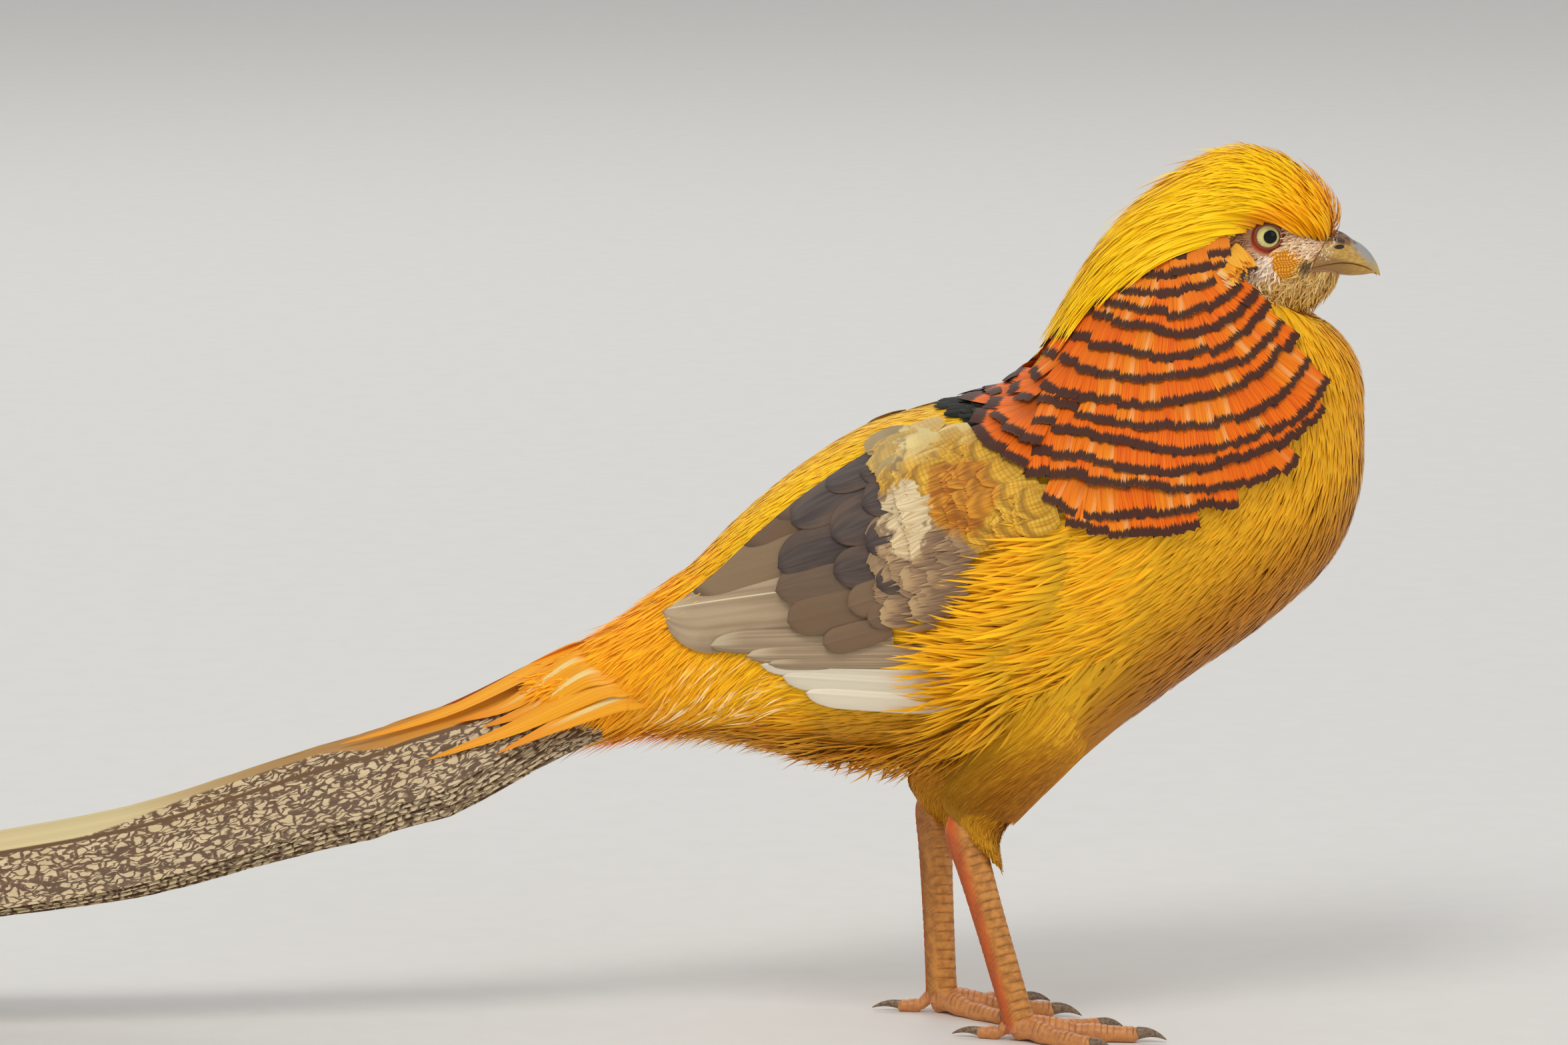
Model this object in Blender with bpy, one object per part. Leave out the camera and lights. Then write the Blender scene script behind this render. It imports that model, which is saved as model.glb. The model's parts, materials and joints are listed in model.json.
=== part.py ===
# Golden pheasant cock of the yellow colour form, standing, in life size.
# Lengths in this file are millimetres, X towards the bill, Y to the bird's left, Z up from the floor.
import math
from collections import namedtuple

import bmesh
import bpy
from mathutils import Vector
from mathutils.bvhtree import BVHTree

MM = 0.001
GAP = 0.35

# One cross-section of head, neck and trunk: its highest and lowest point (x, z) and half its width.
Section = namedtuple("Section", "back belly half")
BODY = [
    Section((131.5, 303.0), (134.5, 284.5), 6.2),
    Section((126.0, 311.0), (132.0, 281.5), 9.5),
    Section((115.0, 319.5), (127.5, 277.5), 13.0),
    Section((101.0, 324.5), (122.5, 273.5), 15.4),
    Section((86.0, 321.0), (119.5, 271.5), 16.6),
    Section((68.0, 311.0), (119.5, 270.5), 19.0),
    Section((50.0, 294.0), (129.5, 266.2), 26.0),
    Section((32.0, 263.0), (140.0, 251.0), 34.0),
    Section((17.0, 241.0), (144.0, 229.0), 42.0),
    Section((1.0, 235.5), (143.0, 203.0), 48.0),
    Section((-17.5, 233.0), (132.5, 178.0), 52.5),
    Section((-42.5, 226.5), (107.5, 154.0), 55.0),
    Section((-67.5, 212.5), (78.8, 133.8), 53.0),
    Section((-88.5, 196.0), (49.5, 112.5), 47.5),
    Section((-107.5, 177.0), (22.5, 101.5), 40.0),
    Section((-122.5, 164.5), (-17.5, 101.5), 32.5),
    Section((-136.3, 154.5), (-55.0, 104.0), 26.0),
    Section((-147.5, 147.5), (-85.5, 111.0), 20.5),
    Section((-156.5, 141.0), (-115.0, 114.5), 15.5),
]
BILL_BASE = 0.0
HEAD_END = 5.0
NECK_END = 7.5
TORSO_END = 14.0
RUMP_END = 18.0
RING = 24

# The side of the bird is laid out as someone sees it who looks down a little from its right.
LOOK_DOWN = math.radians(8.0)

# The eye: centre of the ball on the right side, its radius, and the rim of the lids round it.
EYE = (108.8, 9.2, 300.3)
EYE_RADIUS = 6.4
LID_RING = 6.0
LID_TUBE = 1.3

LEG_Y = 27.0


# Arithmetic on sections and points.

def blend(a, b, c, d, f):
    """Catmull-Rom curve through b and c."""
    bend = 2 * a - 5 * b + 4 * c - d
    twist = 3 * b - a - 3 * c + d
    return 0.5 * (2 * b + (c - a) * f + bend * f ** 2 + twist * f ** 3)


def along(values, t):
    """Value at place t of a smooth curve through the numbers of a list."""
    last = len(values) - 1
    t = min(max(t, 0.0), float(last))
    i = min(int(t), last - 1)
    before = values[max(i - 1, 0)]
    after = values[min(i + 2, last)]
    return blend(before, values[i], values[i + 1], after, t - i)


def path(points, count):
    """Points at even steps of the place on a smooth curve through a few points."""
    tracks = list(zip(*points))
    last = len(points) - 1
    return [Vector([along(track, last * k / (count - 1)) for track in tracks]) for k in range(count)]


BACK_X = [s.back[0] for s in BODY]
BACK_Z = [s.back[1] for s in BODY]
BELLY_X = [s.belly[0] for s in BODY]
BELLY_Z = [s.belly[1] for s in BODY]
HALF = [s.half for s in BODY]


def on_body(t, degrees, lift=0.0):
    """Point of the body surface: t counts the sections, 0 degrees is the back and 90 the right side."""
    back = Vector((along(BACK_X, t), 0.0, along(BACK_Z, t)))
    belly = Vector((along(BELLY_X, t), 0.0, along(BELLY_Z, t)))
    half = (back - belly) / 2
    angle = math.radians(degrees)
    tall = half * (1 + lift / half.length)
    wide = along(HALF, t) + lift
    return (back + belly) / 2 + tall * math.cos(angle) + Vector((0.0, -wide * math.sin(angle), 0.0))


def body_normal(t, degrees):
    """Outward direction of the body surface."""
    here = on_body(t, degrees)
    towards_tail = on_body(t + 0.02, degrees) - on_body(t - 0.02, degrees)
    around = on_body(t, degrees + 1.0) - on_body(t, degrees - 1.0)
    normal = around.cross(towards_tail).normalized()
    middle = (on_body(t, 0.0) + on_body(t, 180.0)) / 2
    return normal if normal.dot(here - middle) > 0 else -normal


def body_surface():
    """Search tree of the body surface."""
    steps, ring = 120, 48
    points = [on_body(RUMP_END * k / steps, 360.0 * i / ring) for k in range(steps + 1) for i in range(ring)]
    faces = []
    for k in range(steps):
        for i in range(ring):
            j = (i + 1) % ring
            faces.append((k * ring + i, (k + 1) * ring + i, (k + 1) * ring + j, k * ring + j))
    return BVHTree.FromPolygons(points, faces)


def seen(surface, x, z):
    """Point and normal where the line of sight through x, z of the middle plane meets the right side."""
    sight = Vector((0.0, math.cos(LOOK_DOWN), -math.sin(LOOK_DOWN)))
    point, normal, _, _ = surface.ray_cast(Vector((x, 0.0, z)) - sight * 300.0, sight)
    if point is None:
        point, normal, _, _ = surface.find_nearest(Vector((x, -4.0, z)))
    return point, normal


def nearest(surface, place):
    """Nearest point of a surface and its outward direction there."""
    point, normal, _, _ = surface.find_nearest(place)
    return point, normal


# Mesh making.

def finish_object(name, bm):
    """Object of a closed bmesh in millimetres, with its faces pointing out."""
    bmesh.ops.remove_doubles(bm, verts=bm.verts, dist=0.001)
    bmesh.ops.recalc_face_normals(bm, faces=bm.faces)
    mesh = bpy.data.meshes.new(name)
    bmesh.ops.scale(bm, vec=(MM, MM, MM), verts=bm.verts)
    bm.to_mesh(mesh)
    bm.free()
    mesh.shade_smooth()
    mesh.set_sharp_from_angle(angle=math.radians(50))
    obj = bpy.data.objects.new(name, mesh)
    bpy.context.scene.collection.objects.link(obj)
    return obj


def loft(name, rings):
    """Closed body through rings of points, with flat ends; a ring of one point is a tip."""
    bm = bmesh.new()
    made = [[bm.verts.new(p) for p in ring] for ring in rings]
    for low, high in zip(made, made[1:]):
        count = max(len(low), len(high))
        for i in range(count):
            j = (i + 1) % count
            corners = [low[i % len(low)], low[j % len(low)], high[j % len(high)], high[i % len(high)]]
            corners = list(dict.fromkeys(corners))
            bm.faces.new(corners)
    for ring in (made[0], made[-1]):
        if len(ring) > 2:
            bm.faces.new(ring)
    bmesh.ops.triangulate(bm, faces=[f for f in bm.faces if len(f.verts) == 4])
    return finish_object(name, bm)


def body_loft(name, start, end, count, grow=0.0, apart=0.0):
    """A length of the body between two places; its first ring may stand a little apart from its place."""
    rings = []
    for k in range(count + 1):
        t = start + (end - start) * k / count
        rings.append([on_body(t, 360.0 * i / RING, grow) for i in range(RING)])
    spine = on_body(start, 0.0) - on_body(start, 180.0)
    behind = spine.cross(Vector((0.0, 1.0, 0.0))).normalized()
    rings[0] = [p + behind * apart for p in rings[0]]
    return loft(name, rings)


def tube_rings(points, wide, tall, sides, side_axis=None):
    """Rings of an elliptic tube along points, with half widths and half heights for each."""
    rings = []
    for k, p in enumerate(points):
        before = points[max(k - 1, 0)]
        after = points[min(k + 1, len(points) - 1)]
        ahead = (after - before).normalized()
        side = side_axis or Vector((0.0, 1.0, 0.0))
        side = (side - ahead * side.dot(ahead)).normalized()
        up = ahead.cross(side)
        ring = []
        for i in range(sides):
            angle = 2 * math.pi * (i + 0.5) / sides
            ring.append(p + side * (wide[k] * math.cos(angle)) + up * (tall[k] * math.sin(angle)))
        rings.append(ring)
    return rings


def plate(name, lower, upper):
    """Closed plate between two grids of points with the same rows and columns."""
    bm = bmesh.new()
    low = [[bm.verts.new(p) for p in row] for row in lower]
    high = [[bm.verts.new(p) for p in row] for row in upper]
    rows = len(low)
    columns = len(low[0])
    for i in range(rows - 1):
        for j in range(columns - 1):
            for grid in (low, high):
                a, b, c, d = grid[i][j], grid[i + 1][j], grid[i + 1][j + 1], grid[i][j + 1]
                bm.faces.new((a, b, c))
                bm.faces.new((a, c, d))
    rim = [(0, j) for j in range(columns - 1)]
    rim += [(i, columns - 1) for i in range(rows - 1)]
    rim += [(rows - 1, j) for j in range(columns - 1, 0, -1)]
    rim += [(i, 0) for i in range(rows - 1, 0, -1)]
    for (i, j), (m, n) in zip(rim, rim[1:] + rim[:1]):
        bm.faces.new((low[i][j], low[m][n], high[m][n]))
        bm.faces.new((low[i][j], high[m][n], high[i][j]))
    return finish_object(name, bm)


# Shapes of feathers: shares of the full width at even steps from root to tip.
ROUND = (0.8, 1.0, 0.5)
LONG = (0.6, 1.0, 0.95, 0.35)
LANCE = (0.8, 1.0, 0.75, 0.4, 0.08)
VANE_THICK = 0.8


def body_feather(surface, root, tip, width, shape, heights, side=1, tilt=0.0):
    """Vane that follows the body between two places seen from the side, with its heights at root and tip."""
    stations = len(shape)
    spots = []
    for k in range(stations):
        f = k / (stations - 1)
        spots.append(seen(surface, root[0] + (tip[0] - root[0]) * f, root[1] + (tip[1] - root[1]) * f))
    lower = []
    upper = []
    for k in range(stations):
        point, normal = spots[k]
        ahead = spots[min(k + 1, stations - 1)][0] - spots[max(k - 1, 0)][0]
        across = ahead.cross(normal).normalized()
        height = heights[0] + (heights[1] - heights[0]) * k / (stations - 1)
        row_low = []
        row_high = []
        for j in (-1, 1):
            spot, out = nearest(surface, point + across * (j * width * shape[k] / 2))
            rise = height - tilt * j
            row_low.append(flip(spot + out * rise, side))
            row_high.append(flip(spot + out * (rise + VANE_THICK), side))
        lower.append(row_low)
        upper.append(row_high)
    return plate("vane", lower, upper)


def flip(point, side):
    """The point itself for the right side, and its mirror image for the left."""
    return Vector((point.x, point.y * side, point.z))


def ribbon(points, acrosses, outs, width, shape, thick=VANE_THICK):
    """Flat vane along free points, with its side and outward directions."""
    lower = []
    upper = []
    for k, point in enumerate(points):
        row_low = []
        row_high = []
        for j in (-1, 1):
            spot = point + acrosses[k] * (j * width * shape[k] / 2)
            row_low.append(spot)
            row_high.append(spot + outs[k] * thick)
        lower.append(row_low)
        upper.append(row_high)
    return plate("vane", lower, upper)


def drop_guides(collection):
    """Remove the pieces that a union or a cut has used."""
    for obj in list(collection.objects):
        bpy.data.objects.remove(obj)
    bpy.data.collections.remove(collection)


def combine(target, pieces, operation="UNION"):
    """Fuse pieces with an object, or cut them from it, and keep its largest closed surface."""
    collection = bpy.data.collections.new("pieces")
    for piece in pieces:
        for owner in list(piece.users_collection):
            owner.objects.unlink(piece)
        collection.objects.link(piece)
    change = target.modifiers.new("change", "BOOLEAN")
    change.operation = operation
    change.operand_type = "COLLECTION"
    change.collection = collection
    change.solver = "MANIFOLD"
    depsgraph = bpy.context.evaluated_depsgraph_get()
    result = bpy.data.meshes.new_from_object(target.evaluated_get(depsgraph), depsgraph=depsgraph)
    target.modifiers.clear()
    old = target.data
    target.data = result
    bpy.data.meshes.remove(old)
    drop_guides(collection)
    keep_largest(target)
    return target


def keep_largest(obj):
    """Delete every closed surface of an object but the largest."""
    bm = bmesh.new()
    bm.from_mesh(obj.data)
    unseen = set(bm.verts)
    groups = []
    while unseen:
        group = {unseen.pop()}
        edge_of_group = list(group)
        while edge_of_group:
            vert = edge_of_group.pop()
            for edge in vert.link_edges:
                other = edge.other_vert(vert)
                if other in unseen:
                    unseen.discard(other)
                    group.add(other)
                    edge_of_group.append(other)
        groups.append(group)
    biggest = max(groups, key=len)
    bmesh.ops.delete(bm, geom=[v for v in bm.verts if v not in biggest], context="VERTS")
    bm.to_mesh(obj.data)
    bm.free()


def ball(name, centre, radii, rings=12, segments=20):
    """Ellipsoid with its poles along Z."""
    bm = bmesh.new()
    bmesh.ops.create_uvsphere(bm, u_segments=segments, v_segments=rings, radius=1.0)
    bmesh.ops.scale(bm, vec=radii, verts=bm.verts)
    bmesh.ops.translate(bm, vec=centre, verts=bm.verts)
    return finish_object(name, bm)


def ring_round(name, centre, major, minor, side, around=14, sides=5):
    """Ring lying in an upright plane that looks along Y."""
    bm = bmesh.new()
    loops = []
    for i in range(around):
        a = 2 * math.pi * i / around
        out = Vector((math.cos(a), 0.0, math.sin(a)))
        middle = Vector(centre) + out * major
        loop = []
        for k in range(sides):
            b = 2 * math.pi * k / sides
            rise = Vector((0.0, side * minor * math.sin(b), 0.0))
            loop.append(bm.verts.new(middle + out * (minor * math.cos(b)) + rise))
        loops.append(loop)
    for i in range(around):
        here = loops[i]
        there = loops[(i + 1) % around]
        for k in range(sides):
            m = (k + 1) % sides
            bm.faces.new((here[k], here[m], there[m], there[k]))
    bmesh.ops.triangulate(bm, faces=bm.faces)
    return finish_object(name, bm)


def paint(obj, colour, roughness=0.6, metallic=0.0):
    """Give an object a material of its own."""
    material = bpy.data.materials.new(obj.name)
    material.use_nodes = True
    shader = material.node_tree.nodes["Principled BSDF"]
    shader.inputs["Base Color"].default_value = (*colour, 1.0)
    shader.inputs["Roughness"].default_value = roughness
    shader.inputs["Metallic"].default_value = metallic
    obj.data.materials.clear()
    obj.data.materials.append(material)
    return obj


GOLD = (0.85, 0.48, 0.02)
CREST_YELLOW = (0.95, 0.62, 0.02)
RUFF_ORANGE = (0.85, 0.22, 0.01)
DEEP_OCHRE = (0.62, 0.33, 0.02)
DARK_GREEN = (0.05, 0.07, 0.05)
WING_BROWN = (0.25, 0.17, 0.10)
TAIL_BROWN = (0.42, 0.33, 0.20)
LEG_OCHRE = (0.55, 0.33, 0.12)
HORN = (0.55, 0.42, 0.22)
FACE_BUFF = (0.68, 0.50, 0.30)
IRIS = (0.80, 0.72, 0.35)


# Head, bill and eyes.

# Bill sections: x, top and bottom of the half, and half its width. The first lies on the face.
UPPER_BILL = [(0.0, 302.6, 288.9, 5.9), (138.0, 300.4, 288.4, 4.7), (143.5, 296.2, 287.9, 3.4),
              (147.6, 291.0, 286.7, 2.0), (149.5, 287.0, 284.8, 0.7)]
LOWER_BILL = [(0.0, 288.1, 284.6, 5.0), (138.0, 287.9, 284.1, 4.0), (142.5, 287.4, 284.9, 2.7),
              (146.2, 286.4, 285.2, 1.0)]
GAPE = (124.0, 290.2)
SLIT_DEPTH = 3.0
SLIT_HEIGHTS = [0.35, 0.55, 0.55]
NOSTRIL = (136.2, 297.3)


def face_x(z):
    """Where the flat front of the head stands at a height."""
    top, bottom = BODY[0].back, BODY[0].belly
    return top[0] + (bottom[0] - top[0]) * (z - top[1]) / (bottom[1] - top[1])


def bill_half(name, sections, ends_flat_on_top):
    """Half of the bill, flat where it meets the other half."""
    rings = []
    for x, top, bottom, half in sections:
        flat, round_side = (top, bottom) if ends_flat_on_top else (bottom, top)
        ring = []
        for k in range(9):
            a = math.pi * k / 8
            z = flat + (round_side - flat) * math.sin(a)
            ring.append(Vector((x or face_x(z) + GAP, half * math.cos(a), z)))
        rings.append(ring)
    return loft(name, rings)


def make_head():
    """Head with lids round the eyes, the line of the mouth and the sockets of the eyes."""
    head = body_loft("head", BILL_BASE, HEAD_END, 10)
    lids = []
    balls = []
    slits = []
    for side in (-1, 1):
        x, y, z = EYE
        lids.append(ring_round("lid", (x, side * (y + 4.0), z), LID_RING, LID_TUBE, side))
        balls.append(ball("socket", (x, side * y, z), [EYE_RADIUS + GAP] * 3, 8, 16))
        gape = Vector((GAPE[0], side * 12.5, GAPE[1]))
        bill = Vector((BODY[0].back[0] + 4.0, side * 6.0, 288.6))
        line = [gape, (gape + bill) / 2, bill]
        slits.append(loft("slit", tube_rings(line, [SLIT_DEPTH] * 3, SLIT_HEIGHTS, 6)))
    combine(head, lids)
    combine(head, balls + slits, "DIFFERENCE")
    return paint(head, FACE_BUFF, 0.8)


def make_bill():
    """Upper half with its nostrils, and lower half."""
    upper = bill_half("bill_upper", UPPER_BILL, False)
    pits = [ball("pit", (NOSTRIL[0], side * 5.0, NOSTRIL[1]), (2.3, 1.3, 0.9), 6, 10) for side in (-1, 1)]
    combine(upper, pits, "DIFFERENCE")
    lower = bill_half("bill_lower", LOWER_BILL, True)
    paint(upper, HORN, 0.35)
    paint(lower, HORN, 0.4)


def make_eyes():
    """Ball of each eye."""
    for word, side in (("right", -1), ("left", 1)):
        x, y, z = EYE
        paint(ball("eye_" + word, (x, side * y, z), [EYE_RADIUS] * 3, 8, 12), IRIS, 0.1)


# Sheets of feathers that lie on the body. Each row: place on the body, from and to in degrees.

CREST_ROWS = [(1.0, 55.0, 2.5), (2.0, 70.0, 4.5), (3.0, 60.0, 5.5), (4.0, 68.0, 5.5), (5.0, 50.0, 5.0),
              (6.0, 36.0, 4.5), (6.7, 24.0, 3.0)]
# Tiers of locks on the crest: place, reach, how many, spread in degrees, height at root and at tip.
CREST_TIERS = [(0.95, 1.5, 3, 38.0, 1.7, 7.6), (1.8, 2.2, 5, 60.0, 3.2, 9.4), (3.0, 2.2, 5, 54.0, 4.0, 9.6),
               (4.2, 1.95, 4, 42.0, 4.0, 8.6), (5.2, 1.6, 3, 26.0, 3.6, 7.2), (5.9, 1.25, 2, 6.0, 3.0, 6.0)]
LOCK_WIDTH = 10.5
CREST_UNDER = 1.2
RUFF_ROWS = [(5.55, 51.0, 118.0), (6.0, 46.0, 126.0), (7.0, 24.0, 127.0), (7.5, 8.0, 127.0),
             (8.2, 4.0, 126.0), (9.0, 32.0, 106.0), (9.5, 48.0, 98.0), (9.9, 62.0, 90.0)]
RUFF_UNDER = 1.9
RUFF_BASE = 2.9
RUFF_TOP = 5.2
# The ruff fans out from a place behind the eye. Rings of tips: reach, hind and fore edge in degrees.
RUFF_CENTRE = (95.0, 302.0)
RUFF_RINGS = [(36.0, -160.0, -66.0), (51.0, -155.0, -61.0), (66.0, -151.0, -62.0), (81.0, -148.0, -71.0),
              (96.0, -147.0, -85.0), (111.0, -145.0, -98.0), (124.5, -133.0, -110.0)]
RUFF_LENGTH = 25.0
RUFF_WIDTH = 17.0
WING_ROWS = [(9.95, 29.0, 46.0), (10.6, 26.0, 60.0), (11.3, 24.0, 70.0), (12.1, 23.0, 78.0),
             (13.0, 22.0, 83.0), (13.8, 24.0, 90.0), (14.3, 27.0, 88.0), (14.8, 32.0, 72.0)]
WING_UNDER = 1.3
WING_BASE = 2.5
# Tiers of the wing, each from its first to its last feather, with the heights at root and tip.
WingTier = namedtuple("WingTier", "count width shape roots tips low high tilt")
WING_TIERS = [
    WingTier(3, 10.5, ROUND, [(-27, 126), (-27, 138)], [(-66, 127), (-82, 138.5)], 1.4, 2.4, 0.2),
    WingTier(4, 13, LONG, [(-32, 146), (-42, 165)], [(-86, 141.5), (-116, 159.5)], 1.4, 4.2, 0.5),
    WingTier(3, 14.5, ROUND, [(-48, 177), (-46, 204)], [(-106, 170), (-89, 190)], 1.4, 4.8, 0.4),
    WingTier(5, 11, ROUND, [(-38, 160), (-42, 210)], [(-70, 154.5), (-75, 196)], 1.6, 7, 0.0),
    WingTier(4, 14, ROUND, [(-19, 163), (-24, 219)], [(-47, 157), (-55, 207)], 1.6, 7, 0.0),
    WingTier(3, 16, ROUND, [(-4, 177), (-8, 224)], [(-31, 170), (-36, 216)], 1.6, 6.2, 0.0),
    WingTier(2, 16, ROUND, [(10, 199), (0, 221)], [(-14, 188), (-20, 214)], 1.6, 5.2, 0.0),
]
# The dark patch between the ruff and the back: rows of the sheet, and its two tiers.
MANTLE_ROWS = [(8.8, 10.0), (9.1, 22.0), (9.5, 27.0), (9.8, 22.0)]
MANTLE_TIERS = [(9.0, 0.75, 2, 10.0), (9.25, 0.85, 3, 17.0)]
MANTLE_UNDER = 0.55
MANTLE_BASE = 1.8


def level(height):
    """Height that is the same all over a sheet."""
    return lambda place, across: height


def sheet(name, rows, side, low, high, steps, columns, least=1.5):
    """Plate on the body between the borders that the rows give, clear of the midline by least degrees."""
    places = [row[0] for row in rows]
    lower = []
    upper = []
    for k in range(steps + 1):
        place = (len(rows) - 1) * k / steps
        t = along(places, place)
        start = max(along([row[1] for row in rows], place), least)
        end = along([row[2] for row in rows], place)
        row_low = []
        row_high = []
        for j in range(columns + 1):
            degrees = side * (start + (end - start) * j / columns)
            row_low.append(on_body(t, degrees) + body_normal(t, degrees) * low(place, j / columns))
            row_high.append(on_body(t, degrees) + body_normal(t, degrees) * high(place, j / columns))
        lower.append(row_low)
        upper.append(row_high)
    return plate(name, lower, upper)


def make_crest():
    """Silky crest: a low cap on head and nape with tiers of tapered locks laid back over it."""
    rows = [(t, -half, half) for t, half, _ in CREST_ROWS]
    thicks = [thick for _, _, thick in CREST_ROWS]

    def outer(place, across):
        edge = abs(2 * across - 1)
        return CREST_UNDER + 0.8 + (along(thicks, place) - 1.0) * math.sqrt(max(0.0, 1 - edge ** 2.5))

    crest = sheet("crest", rows, 1, lambda p, a: CREST_UNDER + max(0.0, p - 4.0) * 0.5, outer, 8, 6, -90.0)
    locks = []
    for tier, (start, reach, count, spread, low, high) in enumerate(CREST_TIERS):
        for n in range(count):
            degrees = spread * (2 * (n + 0.5 * (tier % 2)) / (count - 0.5) - 1)
            locks.append(crest_lock(start, reach, degrees, low, high))
    combine(crest, locks)
    return paint(crest, CREST_YELLOW, 0.6)


def crest_lock(start, reach, degrees, low, high):
    """One lock, which drifts down the side of the head as it runs back."""
    points = []
    acrosses = []
    outs = []
    for k in range(4):
        f = k / 3
        t = start + reach * f
        turn = degrees * (1 - 0.12 * f)
        out = body_normal(t, turn)
        points.append(on_body(t, turn) + out * (low + (high - low) * math.sin(f * math.pi / 2)))
        outs.append(out)
    for k in range(4):
        ahead = points[min(k + 1, 3)] - points[max(k - 1, 0)]
        acrosses.append(ahead.cross(outs[k]).normalized())
    return ribbon(points, acrosses, outs, LOCK_WIDTH, (0.8, 1.0, 0.8, 0.15), 1.0)


def parting():
    """Thin upright slab that keeps the two halves of the ruff apart at the back of the neck."""
    corners = [(-200.0, 100.0), (200.0, 100.0), (200.0, 400.0), (-200.0, 400.0)]
    return loft("parting", [[Vector((x, y, z)) for x, z in corners] for y in (-GAP, GAP)])


def make_ruff(surface):
    """Cape on each side of the neck: rings of square-ended feathers on a thin sheet."""
    for word, side in (("right", 1), ("left", -1)):
        ruff = sheet("ruff_" + word, RUFF_ROWS, side, level(RUFF_UNDER), level(RUFF_BASE), 9, 5, 2.5)
        vanes = []
        for ring, (reach, hind, fore) in enumerate(RUFF_RINGS):
            spread = math.radians(fore - hind)
            count = max(3, round(spread * reach / RUFF_WIDTH))
            for n in range(count):
                a = math.radians(hind) + spread * (n + 0.3 + 0.4 * (ring % 2)) / count
                turn = Vector((math.cos(a), math.sin(a)))
                inner = max(reach - RUFF_LENGTH, 10.0)
                root = Vector(RUFF_CENTRE) + turn * inner
                tip = Vector(RUFF_CENTRE) + turn * reach
                width = spread * reach / count * 0.96
                share = inner / reach
                shape = (share, (share + 1) / 2, 1.0)
                vanes.append(body_feather(surface, root, tip, width, shape, (RUFF_UNDER, RUFF_TOP), side))
        combine(ruff, vanes)
        combine(ruff, [parting()], "DIFFERENCE")
        paint(ruff, RUFF_ORANGE, 0.6)


def make_wings(surface):
    """Folded wing on each side: flight feathers and coverts in tiers on a thin sheet."""
    for word, side in (("right", 1), ("left", -1)):
        wing = sheet("wing_" + word, WING_ROWS, side, level(WING_UNDER), level(WING_BASE), 8, 4)
        vanes = []
        for tier in WING_TIERS:
            for n in range(tier.count):
                f = n / (tier.count - 1)
                root = Vector(tier.roots[0]).lerp(Vector(tier.roots[1]), f)
                tip = Vector(tier.tips[0]).lerp(Vector(tier.tips[1]), f)
                size = (tier.width, tier.shape, (tier.low, tier.high), side, tier.tilt)
                vanes.append(body_feather(surface, root, tip, *size))
        combine(wing, vanes)
        paint(wing, WING_BROWN, 0.6)


def make_mantle(surface):
    """Small dark feathers between the ruff and the back."""
    rows = [(t, -half, half) for t, half in MANTLE_ROWS]
    mantle = sheet("mantle", rows, 1, level(MANTLE_UNDER), level(MANTLE_BASE), 3, 4, -90.0)
    locks = []
    for start, reach, count, spread in MANTLE_TIERS:
        for n in range(count):
            degrees = spread * (2 * n / (count - 1) - 1)
            locks.append(crest_lock(start, reach, degrees, 0.9, 2.6))
    combine(mantle, locks)
    paint(mantle, DARK_GREEN, 0.5)


def make_trunk():
    """Neck, torso and rump, parted by thin plane cuts."""
    paint(body_loft("neck", HEAD_END, NECK_END, 5, 0.0, GAP), GOLD, 0.8)
    paint(body_loft("torso", NECK_END, TORSO_END, 15, 0.0, GAP), GOLD, 0.8)
    rump = body_loft("rump", TORSO_END, RUMP_END, 8, 0.0, GAP)
    combine(rump, [plume(start, tip, width, side) for start, tip, width in PLUMES for side in (1, -1)])
    paint(rump, GOLD, 0.8)


# Tail: its ridge (x, z) and the slope of the sides of its roof in degrees.
TAIL = [(-140.0, 141.0, 52.0), (-185.0, 127.5, 54.0), (-227.0, 113.5, 54.0), (-320.0, 85.0, 50.0),
        (-420.0, 67.0, 44.0), (-540.0, 49.0, 37.0), (-680.0, 29.0, 30.0), (-785.0, 14.5, 26.0)]
# Pairs of tail feathers from the middle outwards: x of the tip, width, and how far each sits down the roof.
TAIL_PAIRS = [(-785.0, 36.0, 0.0), (-665.0, 33.0, 4.5), (-540.0, 32.0, 8.5), (-430.0, 31.0, 12.0),
              (-345.0, 30.0, 15.0), (-275.0, 27.0, 18.0)]
TAIL_ROOT = -166.0
TAIL_STEP = 1.9
# Plumes over the root of the tail: start on the rump (place, degrees), tip (x, down the roof), width.
PLUMES = [((16.6, 9.0), (-196.0, 4.5), 10.0), ((16.8, 36.0), (-232.0, 13.0), 11.0),
          ((16.7, 64.0), (-212.0, 23.0), 11.0), ((16.8, 92.0), (-236.0, 31.0), 10.0)]


def on_tail(x, down, inward, side):
    """Point of one side of the tail's roof: down its slope, and inward from its outer face."""
    xs = [row[0] for row in TAIL]
    i = max(k for k in range(len(xs) - 1) if xs[k] >= x or k == 0)
    place = i + (x - xs[i]) / (xs[i + 1] - xs[i])
    z = along([row[1] for row in TAIL], place)
    slope = math.radians(along([row[2] for row in TAIL], place))
    y = 0.5 + down * math.cos(slope) - inward * math.sin(slope)
    z = z - down * math.sin(slope) - inward * math.cos(slope)
    return Vector((x, -side * y, z))


def tail_frame(x, down, inward, side):
    """Point, direction down the roof and outward direction there."""
    point = on_tail(x, down, inward, side)
    across = (on_tail(x, down + 1, inward, side) - point).normalized()
    out = (point - on_tail(x, down, inward + 1, side)).normalized()
    return point, across, out


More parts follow.
